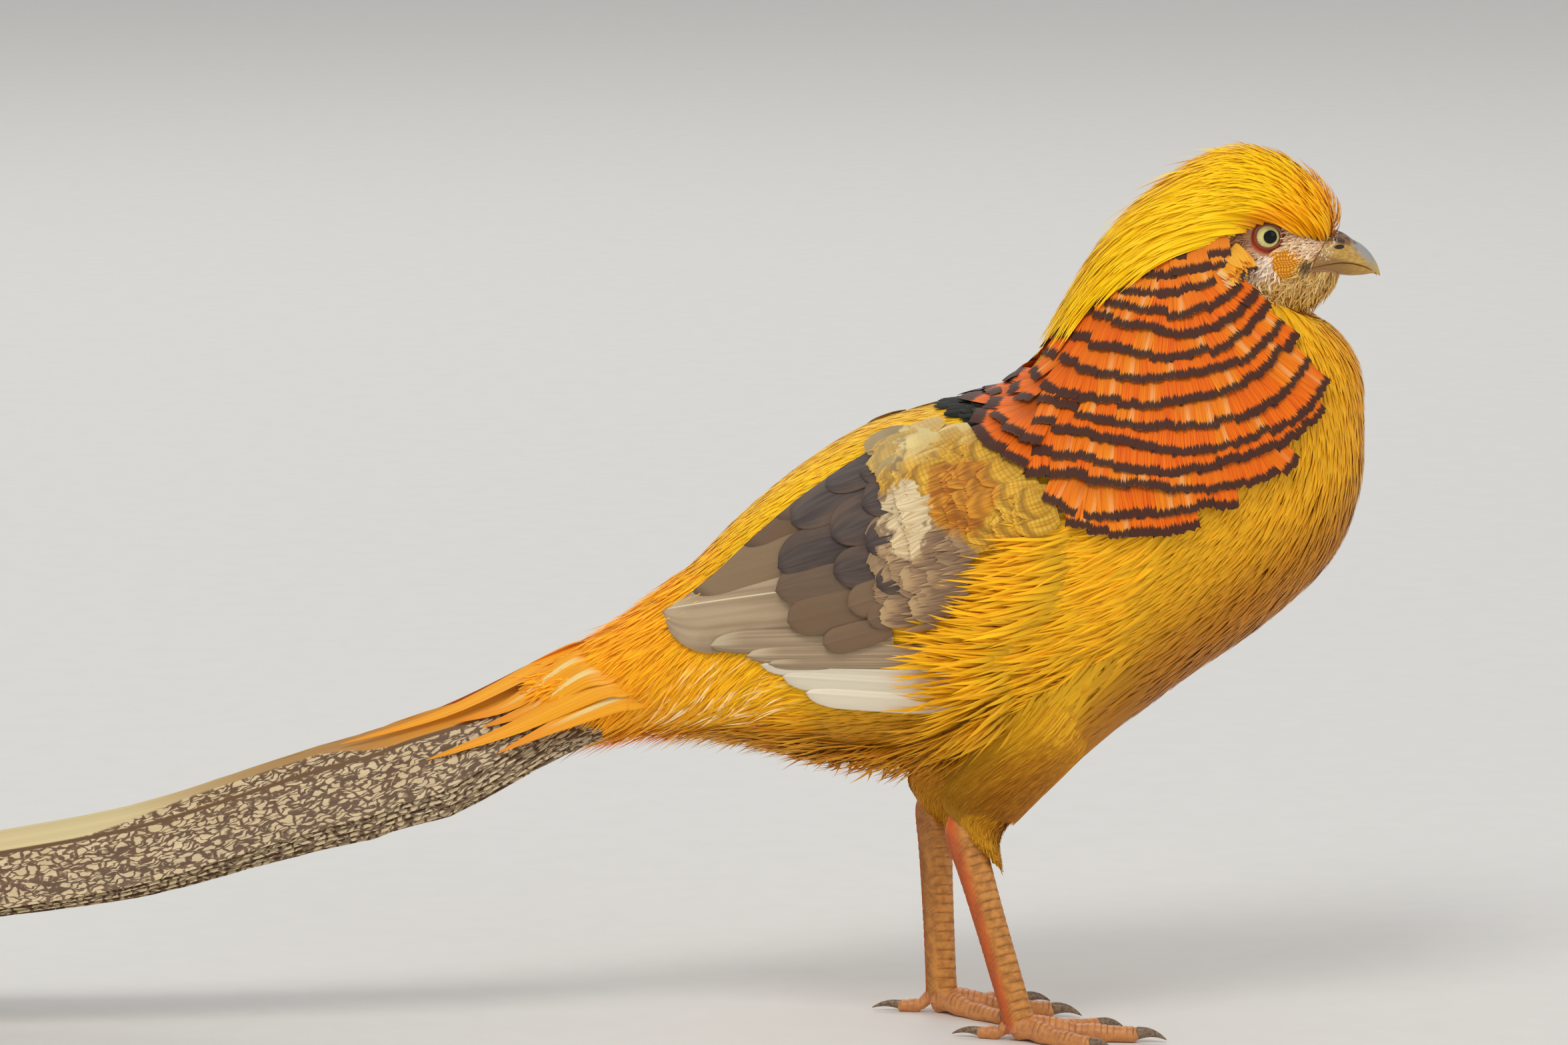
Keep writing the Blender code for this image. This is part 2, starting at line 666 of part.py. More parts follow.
def make_tail():
    """Long roof-shaped tail of nested feathers that shorten outwards, on a short root."""
    rings = []
    for x, share in ((-158.6, 0.55), (-172.0, 0.8), (-186.0, 0.7)):
        depth = TAIL_STEP * len(TAIL_PAIRS)
        reach = 36.0 * share
        inmost = 1.45 * depth
        right = [on_tail(x, d, i, 1) for d, i in ((reach, 1.0), (reach, depth), (inmost, depth))]
        left = [on_tail(x, d, i, -1) for d, i in ((inmost, depth), (reach, depth), (reach, 1.0))]
        rings.append(right + left + [on_tail(x, 2.0, 0.6, -1), on_tail(x, 2.0, 0.6, 1)])
    tail = loft("tail", rings)
    vanes = []
    for side in (1, -1):
        for pair, (tip, width, down) in enumerate(TAIL_PAIRS):
            count = 9 if pair < 2 else 6
            points = []
            acrosses = []
            outs = []
            shape = []
            for k in range(count):
                f = k / (count - 1)
                x = TAIL_ROOT + (tip - TAIL_ROOT) * f
                inward = 0.9 + TAIL_STEP * pair
                share = min(1.0, 0.45 + 1.6 * (TAIL_ROOT - x) / 80.0) * math.sqrt(max(0.02, 1 - f ** 3.0))
                settle = down * (1 - 0.5 * f) + width * share * 0.5
                point, across, out = tail_frame(x, settle + 0.2, inward, side)
                points.append(point)
                acrosses.append(across)
                outs.append(out)
                shape.append(share)
            vanes.append(ribbon(points, acrosses, outs, width, shape))
    combine(tail, vanes)
    return paint(tail, TAIL_BROWN, 0.6)


def plume(start, tip, width, side):
    """Lance-shaped plume that leaves the rump and lies along the tail."""
    t, degrees = start
    turn = side * degrees
    route = []
    for step, lift in ((0.0, -1.0), (0.8, 1.8), (RUMP_END - t, 2.6)):
        route.append(on_body(t + step, turn) + body_normal(min(t + step, RUMP_END - 0.05), turn) * lift)
    x, down = tip
    middle, _, _ = tail_frame((x + route[-1].x) / 2, down * 0.8 + 2, -2.6, side)
    end, across, out = tail_frame(x, down, -2.2, side)
    points = path([*route, middle, end], 5)
    outs = []
    acrosses = []
    for k, point in enumerate(points):
        f = k / 4
        normal = body_normal(RUMP_END - 0.1, turn).lerp(out, f).normalized()
        ahead = (points[min(k + 1, 4)] - points[max(k - 1, 0)]).normalized()
        sideways = ahead.cross(normal).normalized()
        acrosses.append(sideways)
        outs.append(sideways.cross(ahead))
    return ribbon(points, acrosses, outs, width, (0.8, 1.0, 0.9, 0.6, 0.1), 1.0)


# Legs. Feet: hock, foot and heading of the middle toe for each side.
Leg = namedtuple("Leg", "hock foot heading")
LEGS = {
    "right": Leg((-9.0, 78.0), (13.0, 12.0), -6.0),
    "left": Leg((-18.8, 84.5), (-16.0, 12.0), -14.0),
}
# The thigh from the hock up (x, z from the hock), half its width and half its depth there.
THIGH = [(9.0, -5.0), (11.0, 2.0), (15.0, 10.0), (22.0, 22.0), (29.0, 36.0), (33.0, 54.0)]
THIGH_WIDE = [5.0, 8.0, 10.5, 14.0, 17.0, 18.0]
THIGH_TALL = [4.5, 8.5, 12.0, 16.0, 19.0, 20.0]
# Toes: heading beside the middle toe, length and radius. The hind toe leaves the foot a little higher.
TOES = [("middle", 0.0, 46.0, 3.6), ("inner", 32.0, 35.0, 3.3), ("outer", -34.0, 36.0, 3.3),
        ("hind", 172.0, 16.0, 2.6)]
TOE_LIFT = 5.5
HIND_LIFT = 7.5
CLAW = 10.0
SOLE = 0.15


def make_legs():
    """Feathered thigh, scaled shank, toes and claws of each leg."""
    for word, side in (("right", -1), ("left", 1)):
        leg = LEGS[word]
        y = side * LEG_Y
        hock = Vector((leg.hock[0], y, leg.hock[1]))
        foot = Vector((leg.foot[0], y, leg.foot[1]))
        thigh_path = [hock + Vector((x, -side * x * 0.05, z)) for x, z in THIGH]
        thigh = loft("thigh_" + word, tube_rings(thigh_path, THIGH_WIDE, THIGH_TALL, 14))
        combine(thigh, [body_loft("clear", NECK_END, RUMP_END, 32, 2 * GAP)], "DIFFERENCE")
        paint(thigh, GOLD, 0.8)
        down = (foot - hock).normalized()
        shank_path = [hock + down * s for s in (-5.0, -1.0, 5.0, 14.0, 30.0, 50.0, (foot - hock).length)]
        shank_rings = tube_rings(shank_path, [3.0, 5.2, 5.2, 4.3, 3.8, 3.9, 4.6],
                                 [3.5, 6.6, 6.8, 6.0, 5.4, 5.4, 5.6], 10)
        shank_rings[-1] = [Vector((p.x, p.y, foot.z)) for p in shank_rings[-1]]
        shank = loft("shank_" + word, shank_rings)
        clear = tube_rings(thigh_path, [r + GAP for r in THIGH_WIDE], [r + GAP for r in THIGH_TALL], 14)
        lowest = (thigh_path[1] - thigh_path[0]).normalized() * GAP
        clear[0] = [p - lowest for p in clear[0]]
        combine(shank, [loft("clear", clear)], "DIFFERENCE")
        paint(shank, LEG_OCHRE, 0.5)
        make_foot(word, side, foot, leg.heading)


def above_floor(ring, floor):
    """Ring of points with those below a level moved up to it."""
    return [Vector((p.x, p.y, max(p.z, floor))) for p in ring]


def make_foot(word, side, ankle, heading):
    """Foot with three toes ahead and one behind, on flat soles, and its claws."""
    centre = Vector((ankle.x, ankle.y, 0.0))
    up = Vector((0.0, 0.0, 1.0))
    toes = []
    for label, turn, length, radius in TOES:
        a = math.radians(heading + turn * (-side))
        ahead = Vector((math.cos(a), math.sin(a), 0.0))
        across = Vector((-ahead.y, ahead.x, 0.0))
        lift = HIND_LIFT if label == "hind" else TOE_LIFT
        heights = [lift, lift * 0.9, radius * 0.9, radius * 0.85, radius * 0.8]
        points = [centre + ahead * (length * f) + up * z for f, z in zip((0.0, 0.18, 0.5, 0.8, 1.0), heights)]
        wide = [radius * share for share in (1.25, 1.15, 1.0, 0.95, 0.75)]
        tall = [radius * share for share in (1.5, 1.35, 1.0, 0.9, 0.7)]
        rings = tube_rings(points, wide, tall, 8, across)
        toes.append(loft("toe", [above_floor(ring, 0.0) for ring in rings]))
        root = points[-1] + ahead * GAP
        line = [root, root + ahead * CLAW * 0.45 + up * 0.5, root + ahead * CLAW * 0.8 - up * 0.4]
        wide = [radius * share for share in (0.55, 0.42, 0.2)]
        tall = [radius * 0.6, radius * 0.48, 0.5]
        rings = tube_rings(line, wide, tall, 6, across)
        tip = root + ahead * CLAW + up * (0.6 - root.z)
        claw = loft("claw_" + label + "_" + word, [above_floor(ring, SOLE) for ring in rings] + [[tip]])
        paint(claw, HORN, 0.35)
    pad_path = [Vector((ankle.x, ankle.y, z)) for z in (0.0, 3.0, ankle.z - GAP)]
    foot = loft("foot_" + word, tube_rings(pad_path, [6.5, 6.8, 4.6], [7.0, 7.3, 5.6], 10, Vector((0, 1, 0))))
    combine(foot, toes)
    paint(foot, LEG_OCHRE, 0.5)


# The bird is put together and set with the middle of its lowest side at the world's origin.

def main():
    for obj in list(bpy.data.objects):
        bpy.data.objects.remove(obj)
    make_head()
    make_bill()
    make_eyes()
    surface = body_surface()
    make_crest()
    make_trunk()
    make_ruff(surface)
    make_mantle(surface)
    make_wings(surface)
    make_tail()
    make_legs()
    pieces = [obj for obj in bpy.context.scene.objects if obj.type == "MESH"]
    corners = [v.co for obj in pieces for v in obj.data.vertices]
    low = Vector([min(c[i] for c in corners) for i in range(3)])
    high = Vector([max(c[i] for c in corners) for i in range(3)])
    stand = bpy.data.objects.new("pheasant", None)
    bpy.context.scene.collection.objects.link(stand)
    stand.location = (-(low.x + high.x) / 2, -(low.y + high.y) / 2, -low.z)
    for obj in pieces:
        obj.parent = stand


main()
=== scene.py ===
import json
import math

import bmesh
import bpy
import numpy as np
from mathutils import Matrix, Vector
from mathutils.kdtree import KDTree

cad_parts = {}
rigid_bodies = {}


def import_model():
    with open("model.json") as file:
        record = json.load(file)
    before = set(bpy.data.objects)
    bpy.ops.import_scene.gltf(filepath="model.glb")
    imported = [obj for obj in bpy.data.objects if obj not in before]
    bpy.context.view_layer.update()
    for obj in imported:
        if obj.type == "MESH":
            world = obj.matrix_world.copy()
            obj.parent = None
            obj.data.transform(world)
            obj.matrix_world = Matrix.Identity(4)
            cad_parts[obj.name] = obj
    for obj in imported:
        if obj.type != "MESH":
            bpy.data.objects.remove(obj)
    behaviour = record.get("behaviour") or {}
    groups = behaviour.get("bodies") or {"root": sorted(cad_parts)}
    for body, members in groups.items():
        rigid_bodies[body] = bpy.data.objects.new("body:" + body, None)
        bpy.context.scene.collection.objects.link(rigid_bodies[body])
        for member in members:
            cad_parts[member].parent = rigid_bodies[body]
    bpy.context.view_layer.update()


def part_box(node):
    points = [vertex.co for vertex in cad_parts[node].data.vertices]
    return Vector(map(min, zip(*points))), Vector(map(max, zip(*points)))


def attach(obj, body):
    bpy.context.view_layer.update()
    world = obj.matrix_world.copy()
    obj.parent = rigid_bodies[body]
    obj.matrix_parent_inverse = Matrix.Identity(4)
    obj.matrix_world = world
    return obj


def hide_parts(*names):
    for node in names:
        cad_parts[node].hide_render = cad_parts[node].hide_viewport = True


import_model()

# Camera and studio. A long lens stands level with the bird's right side and looks down on it by 8 degrees.
# The floor is a pale matt sheet, lit by three broad soft lamps and an even pale surround.
PHOTO_WIDTH = 2352
PIXELS_PER_MM = 4.0
LENS = 200.0
SENSOR = 36.0
LOOK_DOWN = math.radians(8.0)
EYE = (108.8, 9.2, 300.3)
VIEW_CENTRE = (-72.9, 0.0, 192.2)

eye_low, eye_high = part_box("eye_right")
SHIFT_X = (eye_low[0] + eye_high[0]) * 500 - EYE[0]
SHIFT_Z = (eye_low[2] + eye_high[2]) * 500 - EYE[2]


def metres(points):
    """Places in metres of the frame for places in millimetres of the bird."""
    return (np.asarray(points, float) + (SHIFT_X, 0.0, SHIFT_Z)) / 1000


camera = bpy.data.objects.new("camera", bpy.data.cameras.new("camera"))
camera.data.lens = LENS
camera.data.sensor_width = SENSOR
camera.data.sensor_fit = "HORIZONTAL"
camera.data.clip_end = 60.0
distance = PHOTO_WIDTH * LENS / SENSOR / PIXELS_PER_MM
camera.location = (metres(VIEW_CENTRE) + np.array((0.0, -math.cos(LOOK_DOWN), math.sin(LOOK_DOWN)))
                   * distance / 1000)
camera.rotation_euler = (math.pi / 2 - LOOK_DOWN, 0.0, 0.0)
bpy.context.scene.collection.objects.link(camera)
bpy.context.scene.camera = camera


def lamp(name, place, power, size, colour=(1.0, 1.0, 1.0)):
    """Square soft lamp that faces the middle of the bird."""
    light = bpy.data.lights.new(name, "AREA")
    light.energy = power
    light.size = size
    light.color = colour
    holder = bpy.data.objects.new(name, light)
    aim = Vector(metres((20.0, 0.0, 200.0)))
    holder.location = aim + Vector(place)
    holder.rotation_euler = (aim - holder.location).to_track_quat("-Z", "Y").to_euler()
    bpy.context.scene.collection.objects.link(holder)


lamp("key_lamp", (-0.9, -2.4, 3.0), 52.0, 1.4, (1.0, 0.98, 0.94))
lamp("fill_lamp", (2.4, -2.4, 1.2), 14.0, 2.0)
lamp("back_lamp", (-0.6, 3.0, 2.6), 30.0, 2.4)

world = bpy.data.worlds.new("surround")
world.use_nodes = True
world.node_tree.nodes["Background"].inputs["Color"].default_value = (0.86, 0.87, 0.88, 1.0)
world.node_tree.nodes["Background"].inputs["Strength"].default_value = 0.62
bpy.context.scene.world = world
bpy.context.scene.view_settings.view_transform = "Standard"


def colour(red, green, blue):
    """Linear colour of a paint chip given on a scale of 255."""
    return tuple(c / 12.92 if c <= 0.04045 else ((c + 0.055) / 1.055) ** 2.4
                 for c in (red / 255, green / 255, blue / 255))


class Wire:
    """Output of a shader node, with Python's arithmetic on it."""

    def __init__(self, mix, socket):
        self.mix = mix
        self.socket = socket

    def sum(self, operation, first, second=0.0):
        return self.mix.node("ShaderNodeMath", {"operation": operation}, {0: first, 1: second})

    def __add__(self, other):
        return self.sum("ADD", self, other)

    def __radd__(self, other):
        return self.sum("ADD", other, self)

    def __sub__(self, other):
        return self.sum("SUBTRACT", self, other)

    def __rsub__(self, other):
        return self.sum("SUBTRACT", other, self)

    def __mul__(self, other):
        return self.sum("MULTIPLY", self, other)

    def __rmul__(self, other):
        return self.sum("MULTIPLY", other, self)

    def __truediv__(self, other):
        return self.sum("DIVIDE", self, other)

    def __pow__(self, other):
        return self.sum("POWER", self, other)

    def __abs__(self):
        return self.sum("ABSOLUTE", self)

    def step(self, low, high):
        """0 below low and 1 above high, with a soft edge, or the other way round where low is the larger."""
        settings = {"interpolation_type": "SMOOTHSTEP"}
        if low > high:
            return self.mix.node("ShaderNodeMapRange", settings, {0: self, 1: high, 2: low, 3: 1.0, 4: 0.0})
        return self.mix.node("ShaderNodeMapRange", settings, {0: self, 1: low, 2: high, 3: 0.0, 4: 1.0})

    def band(self, low, high, soft):
        """1 between low and high, falling to 0 over a soft edge."""
        return self.step(low - soft, low + soft) * self.step(high + soft, high - soft)


class Finish:
    """Material under way: makes its nodes and feeds its shader."""

    def __init__(self, name, **constants):
        self.material = bpy.data.materials.new(name)
        self.material.use_nodes = True
        self.tree = self.material.node_tree
        self.shader = self.tree.nodes["Principled BSDF"]
        for key, value in constants.items():
            self.shader.inputs[key.replace("_", " ")].default_value = value

    def node(self, kind, settings, inputs, output=0):
        """Any node: its settings first, then the values or links of its sockets."""
        made = self.tree.nodes.new(kind)
        for key, value in settings.items():
            if key == "stops":
                ramp = made.color_ramp
                while len(ramp.elements) < len(value):
                    ramp.elements.new(1.0)
                for element, (place, shade) in zip(ramp.elements, value):
                    element.position = place
                    element.color = (*shade, 1.0)
            else:
                setattr(made, key, value)
        for key, value in inputs.items():
            if isinstance(value, Wire):
                self.tree.links.new(value.socket, made.inputs[key])
            elif value is not None:
                made.inputs[key].default_value = value
        return Wire(self, made.outputs[output])

    def shade(self, value):
        """A colour as a socket takes it."""
        return value if isinstance(value, Wire) else (*value, 1.0)

    def blend(self, first, second, share, way="MIX"):
        """First colour turned into the second by a share."""
        inputs = {0: share, 6: self.shade(first), 7: self.shade(second)}
        return self.node("ShaderNodeMix", {"data_type": "RGBA", "blend_type": way}, inputs, 2)

    def dim(self, tone, value):
        """Colour times a number that may vary."""
        grey = self.node("ShaderNodeCombineColor", {}, {0: value, 1: value, 2: value})
        return self.blend(tone, grey, 1.0, "MULTIPLY")

    def noise(self, place, scale, detail=2.0, stretch=(1.0, 1.0, 1.0)):
        """Soft random pattern from 0 to 1."""
        where = self.node("ShaderNodeMapping", {}, {0: place, 3: stretch})
        return self.node("ShaderNodeTexNoise", {}, {"Vector": where, "Scale": scale, "Detail": detail})

    def attribute(self, name, output=2):
        """Value that a mesh carries: output 2 is a number and 1 a vector."""
        return self.node("ShaderNodeAttribute", {"attribute_name": name}, {}, output)

    def place(self):
        """Place on the surface, in metres of the frame."""
        return self.node("ShaderNodeTexCoord", {}, {}, 3)

    def spot(self):
        """Place on the surface, in millimetres of the bird."""
        shift = (-SHIFT_X, 0.0, -SHIFT_Z)
        return self.node("ShaderNodeVectorMath", {"operation": "MULTIPLY_ADD"},
                         {0: self.place(), 1: (1000.0, 1000.0, 1000.0), 2: shift})

    def parts(self, vector):
        """The three numbers of a vector."""
        split = self.tree.nodes.new("ShaderNodeSeparateXYZ")
        self.tree.links.new(vector.socket, split.inputs[0])
        return [Wire(self, split.outputs[k]) for k in range(3)]

    def feed(self, bump=None, depth=0.0002, strength=0.5, **wires):
        """Link wires to the shader's sockets, and one to a bump behind its normal."""
        for key, wire in wires.items():
            self.tree.links.new(wire.socket, self.shader.inputs[key.replace("_", " ")])
        if bump is not None:
            relief = self.node("ShaderNodeBump", {},
                               {"Height": bump, "Strength": strength, "Distance": depth})
            self.tree.links.new(relief.socket, self.shader.inputs["Normal"])
        return self.material


def piece(name, points, faces, finish, slot=None, replaces=(), smooth=True):
    """Mesh object from places in metres, riding on the bird."""
    mesh = bpy.data.meshes.new(name)
    mesh.from_pydata([tuple(p) for p in points], [], [tuple(f) for f in faces])
    if smooth:
        mesh.shade_smooth()
    made = bpy.data.objects.new(name, mesh)
    bpy.context.scene.collection.objects.link(made)
    mesh.materials.append(finish)
    if slot:
        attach(made, "root")
    if replaces:
        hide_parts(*replaces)
    return made


FLOOR_SIZE = 14.0
floor_finish = Finish("floor_paper", Roughness=0.9, Specular_IOR_Level=0.2)
grain = floor_finish.noise(floor_finish.place(), 60.0, 3.0)
pale = floor_finish.blend(colour(226, 224, 219), colour(232, 230, 226), grain)
corners = [(x * FLOOR_SIZE, y * FLOOR_SIZE, 0.0) for x, y in ((-1, -1), (1, -1), (1, 1), (-1, 1))]
floor = piece("floor", corners, [(0, 1, 2, 3)], floor_finish.feed(Base_Color=pale, bump=grain, depth=0.0001))

# Skin. One closed skin carries head, neck, trunk and both thighs; it lies under the coat by the coat's depth.
# It is thin and buff pink on the face; where feathers cover it, it takes the colours of the plumage darkened by
# painted shade.
BODY = [
    ((131.5, 303.0), (134.5, 284.5), 6.2), ((126.0, 311.0), (132.0, 281.5), 9.5),
    ((115.0, 319.5), (127.5, 277.5), 13.0),
    ((101.0, 324.5), (122.5, 273.5), 15.4), ((86.0, 321.0), (119.5, 271.5), 16.6),
    ((68.0, 311.0), (119.5, 270.5), 19.0),
    ((50.0, 294.0), (130.8, 267.2), 26.0), ((31.0, 265.5), (142.0, 252.0), 34.0),
    ((15.5, 246.5), (144.6, 229.0), 42.0),
    ((1.0, 240.5), (143.0, 203.0), 48.0), ((-17.5, 236.5), (132.5, 178.0), 52.5),
    ((-42.5, 229.0), (107.5, 154.0), 55.0),
    ((-67.5, 213.5), (78.8, 133.8), 53.0), ((-88.5, 196.0), (49.5, 112.5), 47.5),
    ((-107.5, 177.0), (22.5, 101.5), 40.0),
    ((-122.5, 164.5), (-17.5, 101.5), 32.5), ((-136.3, 154.5), (-55.0, 104.0), 26.0),
    ((-147.5, 147.5), (-85.5, 111.0), 20.5),
    ((-156.5, 141.0), (-115.0, 114.5), 15.5), ((-172.0, 134.0), (-146.0, 110.0), 13.5),
    ((-195.0, 127.0), (-178.0, 100.0), 12.5),
    ((-225.0, 117.5), (-212.0, 92.0), 12.0),
]
RUMP_END = 18.0
BODY_BACK = np.array([row[0] for row in BODY])
BODY_BELLY = np.array([row[1] for row in BODY])
BODY_HALF = np.array([row[2] for row in BODY])


def along(values, place):
    """Smooth curve through a list of values, at many places at once."""
    last = len(values) - 1
    place = np.clip(place, 0.0, last)
    i = np.minimum(place.astype(int), last - 1)
    f = place - i
    a, b, c, d = values[np.maximum(i - 1, 0)], values[i], values[i + 1], values[np.minimum(i + 2, last)]
    if values.ndim > 1:
        f = f[..., None]
    bend = 2 * a - 5 * b + 4 * c - d
    return 0.5 * (2 * b + (c - a) * f + bend * f ** 2 + (3 * b - a - 3 * c + d) * f ** 3)


def on_body(t, degrees, lift=0.0):
    """Places on the bird's form: t counts its sections, 0 degrees is the back and 90 the right side."""
    t, degrees, lift = np.broadcast_arrays(*(np.asarray(v, float) for v in (t, degrees, lift)))
    back = along(BODY_BACK, t)
    belly = along(BODY_BELLY, t)
    half = (back - belly) / 2
    length = np.linalg.norm(half, axis=-1)
    angle = np.radians(degrees)
    spine = (back + belly) / 2 + half * ((1 + lift / length) * np.cos(angle))[..., None]
    return np.stack((spine[..., 0], -(along(BODY_HALF, t) + lift) * np.sin(angle), spine[..., 1]), axis=-1)


def unit(vectors):
    """Vectors brought to length 1."""
    return vectors / np.maximum(np.linalg.norm(vectors, axis=-1, keepdims=True), 1e-9)


def slopes(t, degrees, lift):
    """How a place on the form moves with t and with the degrees, and the outward direction there."""
    by_t = (on_body(t + 0.03, degrees, lift) - on_body(t - 0.03, degrees, lift)) / 0.06
    by_turn = (on_body(t, degrees + 1.0, lift) - on_body(t, degrees - 1.0, lift)) / 2
    out = unit(np.cross(by_turn, by_t))
    middle = (on_body(t, degrees * 0.0) + on_body(t, degrees * 0.0 + 180.0)) / 2
    away = on_body(t, degrees, lift) - middle
    return by_t, by_turn, out * np.sign(np.sum(out * away, axis=-1, keepdims=True))


def grid_faces(rows, columns, closed=False):
    """Four-sided faces of a grid of points, row by row."""
    r, c = np.meshgrid(np.arange(rows - 1), np.arange(columns if closed else columns - 1), indexing="ij")
    here = r * columns + c
    beside = r * columns + (c + 1) % columns
    return np.stack((here, here + columns, beside + columns, beside), axis=-1).reshape(-1, 4)


def as_seen(places):
    """Where the eye, level with the bird's right side, sees places: x and height in its middle plane."""
    return np.stack((places[..., 0], places[..., 2] + places[..., 1] * math.tan(LOOK_DOWN)), axis=-1)


chart = [v.ravel() for v in np.meshgrid(np.linspace(0, 18, 240), np.arange(-14.0, 196.0, 1.5), indexing="ij")]
facing = slopes(*chart, 0.0)[2] @ np.array((0.0, -math.cos(LOOK_DOWN), math.sin(LOOK_DOWN)))
chart = [v[facing > 0.02] for v in chart]
chart_tree = KDTree(len(chart[0]))
for number, spot in enumerate(as_seen(on_body(*chart))):
    chart_tree.insert((*spot, 0.0), number)
chart_tree.balance()


def seen(spots):
    """Places t and degrees of the right side that are seen at spots of the middle plane."""
    flat = np.asarray(spots, float).reshape(-1, 2)
    near = [chart_tree.find((*spot, 0.0))[1] for spot in flat]
    t, turn = chart[0][near], chart[1][near]
    for _ in range(3):
        by_t, by_turn, _ = slopes(t, turn, 0.0)
        a, c, miss = as_seen(by_t), as_seen(by_turn), flat - as_seen(on_body(t, turn))
        aa, ac, cc = (a * a).sum(-1) + 0.01, (a * c).sum(-1), (c * c).sum(-1) + 0.01
        p, q = (a * miss).sum(-1), (c * miss).sum(-1)
        t = t + np.clip((cc * p - ac * q) / (aa * cc - ac * ac), -0.2, 0.2)
        turn = turn + np.clip((aa * q - ac * p) / (aa * cc - ac * ac), -3.0, 3.0)
    return t.reshape(np.shape(spots)[:-1]), turn.reshape(np.shape(spots)[:-1])


COAT_DEPTH = [(0.0, 0.3), (1.0, 0.7), (4.0, 0.8), (5.5, 2.5), (8.0, 4.5), (14.0, 5.0), (17.0, 4.0),
              (18.0, 3.0)]
SOCKET = 8.6


def coat_depth(t):
    """Depth of the skin under the outline of the coat."""
    return np.interp(t, [row[0] for row in COAT_DEPTH], [row[1] for row in COAT_DEPTH])


def skin_points(rows, ring):
    """Rings of the skin from the bill's base to the root of the tail."""
    t, turn = np.meshgrid(rows, np.linspace(0, 360, ring, endpoint=False), indexing="ij")
    points = on_body(t, turn, -coat_depth(t))
    reach = np.hypot(points[..., 0] - EYE[0], points[..., 2] - EYE[2])
    sink = np.clip((SOCKET - reach) / 1.5, 0.0, 1.0) * (t < 5.0)
    points[..., 1] *= 1 - 0.35 * sink
    return points


def closed_tube(name, rings, finish=None):
    """Closed mesh object through rings of points, with a fan at each end."""
    rows, ring = rings.shape[:2]
    points = np.concatenate((rings.reshape(-1, 3), rings[:1].mean(axis=1), rings[-1:].mean(axis=1)))
    faces = grid_faces(rows, ring, True).tolist()
    first, last = rows * ring, rows * ring + 1
    for k in range(ring):
        faces.append((first, k, (k + 1) % ring))
        faces.append((last, (rows - 1) * ring + (k + 1) % ring, (rows - 1) * ring + k))
    made = piece(name, metres(points), faces, finish)
    shape = bmesh.new()
    shape.from_mesh(made.data)
    bmesh.ops.recalc_face_normals(shape, faces=shape.faces)
    shape.to_mesh(made.data)
    shape.free()
    return made


LEG_Y = 27.0
LEGS = {"right": (-1, (-6.5, 81.5), (15.0, 12.0), -6.0), "left": (1, (-16.2, 81.0), (-13.8, 12.0), -14.0)}
THIGH = [(7.5, -5.0, 5.5, 6.0), (5.5, 2.5, 8.5, 12.0), (8.5, 10.0, 11.0, 15.0), (18.5, 22.0, 14.0, 16.5),
         (28.0, 36.0, 17.0, 19.0), (33.0, 54.0, 18.0, 20.0)]


def thigh_place(side, hock, f, angle, lift):
    """Places on a thigh: f runs from 0 at the hock to 1 inside the body, angle goes round it."""
    table = np.array(THIGH)
    x, z, wide, tall = np.moveaxis(along(table, np.asarray(f) * (len(THIGH) - 1)), -1, 0)
    low = np.clip(1.0 - np.asarray(f) / 0.4, 0.0, 1.0) * (side > 0)
    x, tall = x - 3.0 * low, tall + 3.0 * low
    slope = np.arctan2(60.0, 24.0)
    centre = np.stack((hock[0] + x, side * LEG_Y - side * x * 0.05, hock[1] + z), axis=-1)
    round_x = np.sin(angle) * (tall + lift) * np.sin(slope)
    round_z = -np.sin(angle) * (tall + lift) * np.cos(slope)
    return centre + np.stack((round_x, np.cos(angle) * (wide + lift), round_z), axis=-1)


def plumage(mix, root):
    """Colour of the body plumage at a place in millimetres of the bird, with painted shade towards the underside.
    """
    x, y, z = mix.parts(root)
    patch = mix.noise(root, 0.035, 1.0)
    # Painted shade: the plumage darkens towards the bottom of the body, away from the light.
    tone = mix.blend(colour(240, 172, 8), colour(208, 138, 6), z.step(225.0, 130.0))
    tone = mix.blend(tone, colour(246, 188, 12), (x * -0.4 + z * 0.2).step(-12.0, 26.0)
                     * z.step(112.0, 140.0))
    tone = mix.blend(tone, colour(168, 118, 16), z.step(150.0, 106.0) * x.step(-60.0, 10.0) * 0.8)
    tone = mix.blend(tone, colour(255, 202, 4), (z - x * 0.55).step(222.0, 238.0))
    tone = mix.blend(tone, colour(246, 160, 6), x.step(-70.0, -125.0) * 0.9)
    tone = mix.blend(tone, colour(196, 142, 44), x.step(-30.0, -62.0) * x.step(-112.0, -92.0)
                     * z.step(126.0, 112.0))
    # Painted shade: a darker brown-orange band along the underside, which lies in shade.
    tone = mix.blend(tone, colour(186, 112, 0), (z - x * 0.9).step(106.0, 74.0) * x.step(0.0, 30.0) * 0.75)
    return mix.blend(tone, colour(186, 120, 10), patch.step(0.55, 0.8) * 0.25), x, z


skin_finish = Finish("skin", Roughness=0.62, Specular_IOR_Level=0.35, Subsurface_Weight=0.12,
                     Subsurface_Scale=0.002)
spot = skin_finish.spot()
coat_tone, skin_x, skin_z = plumage(skin_finish, spot)
face_share = (skin_x * 0.5 + skin_z).step(318.0, 326.0)
pores = skin_finish.noise(spot, 1.6, 3.0)
face_tone = skin_finish.blend(colour(196, 150, 112), colour(168, 110, 80), pores)
# Painted shade: under the coat the skin takes the plumage colour dimmed to 0.55, for the shade under the
# feathers.
skin_tone = skin_finish.blend(skin_finish.dim(coat_tone, 0.55), face_tone, face_share)
skin_finish.feed(Base_Color=skin_tone, bump=pores, depth=0.0002)

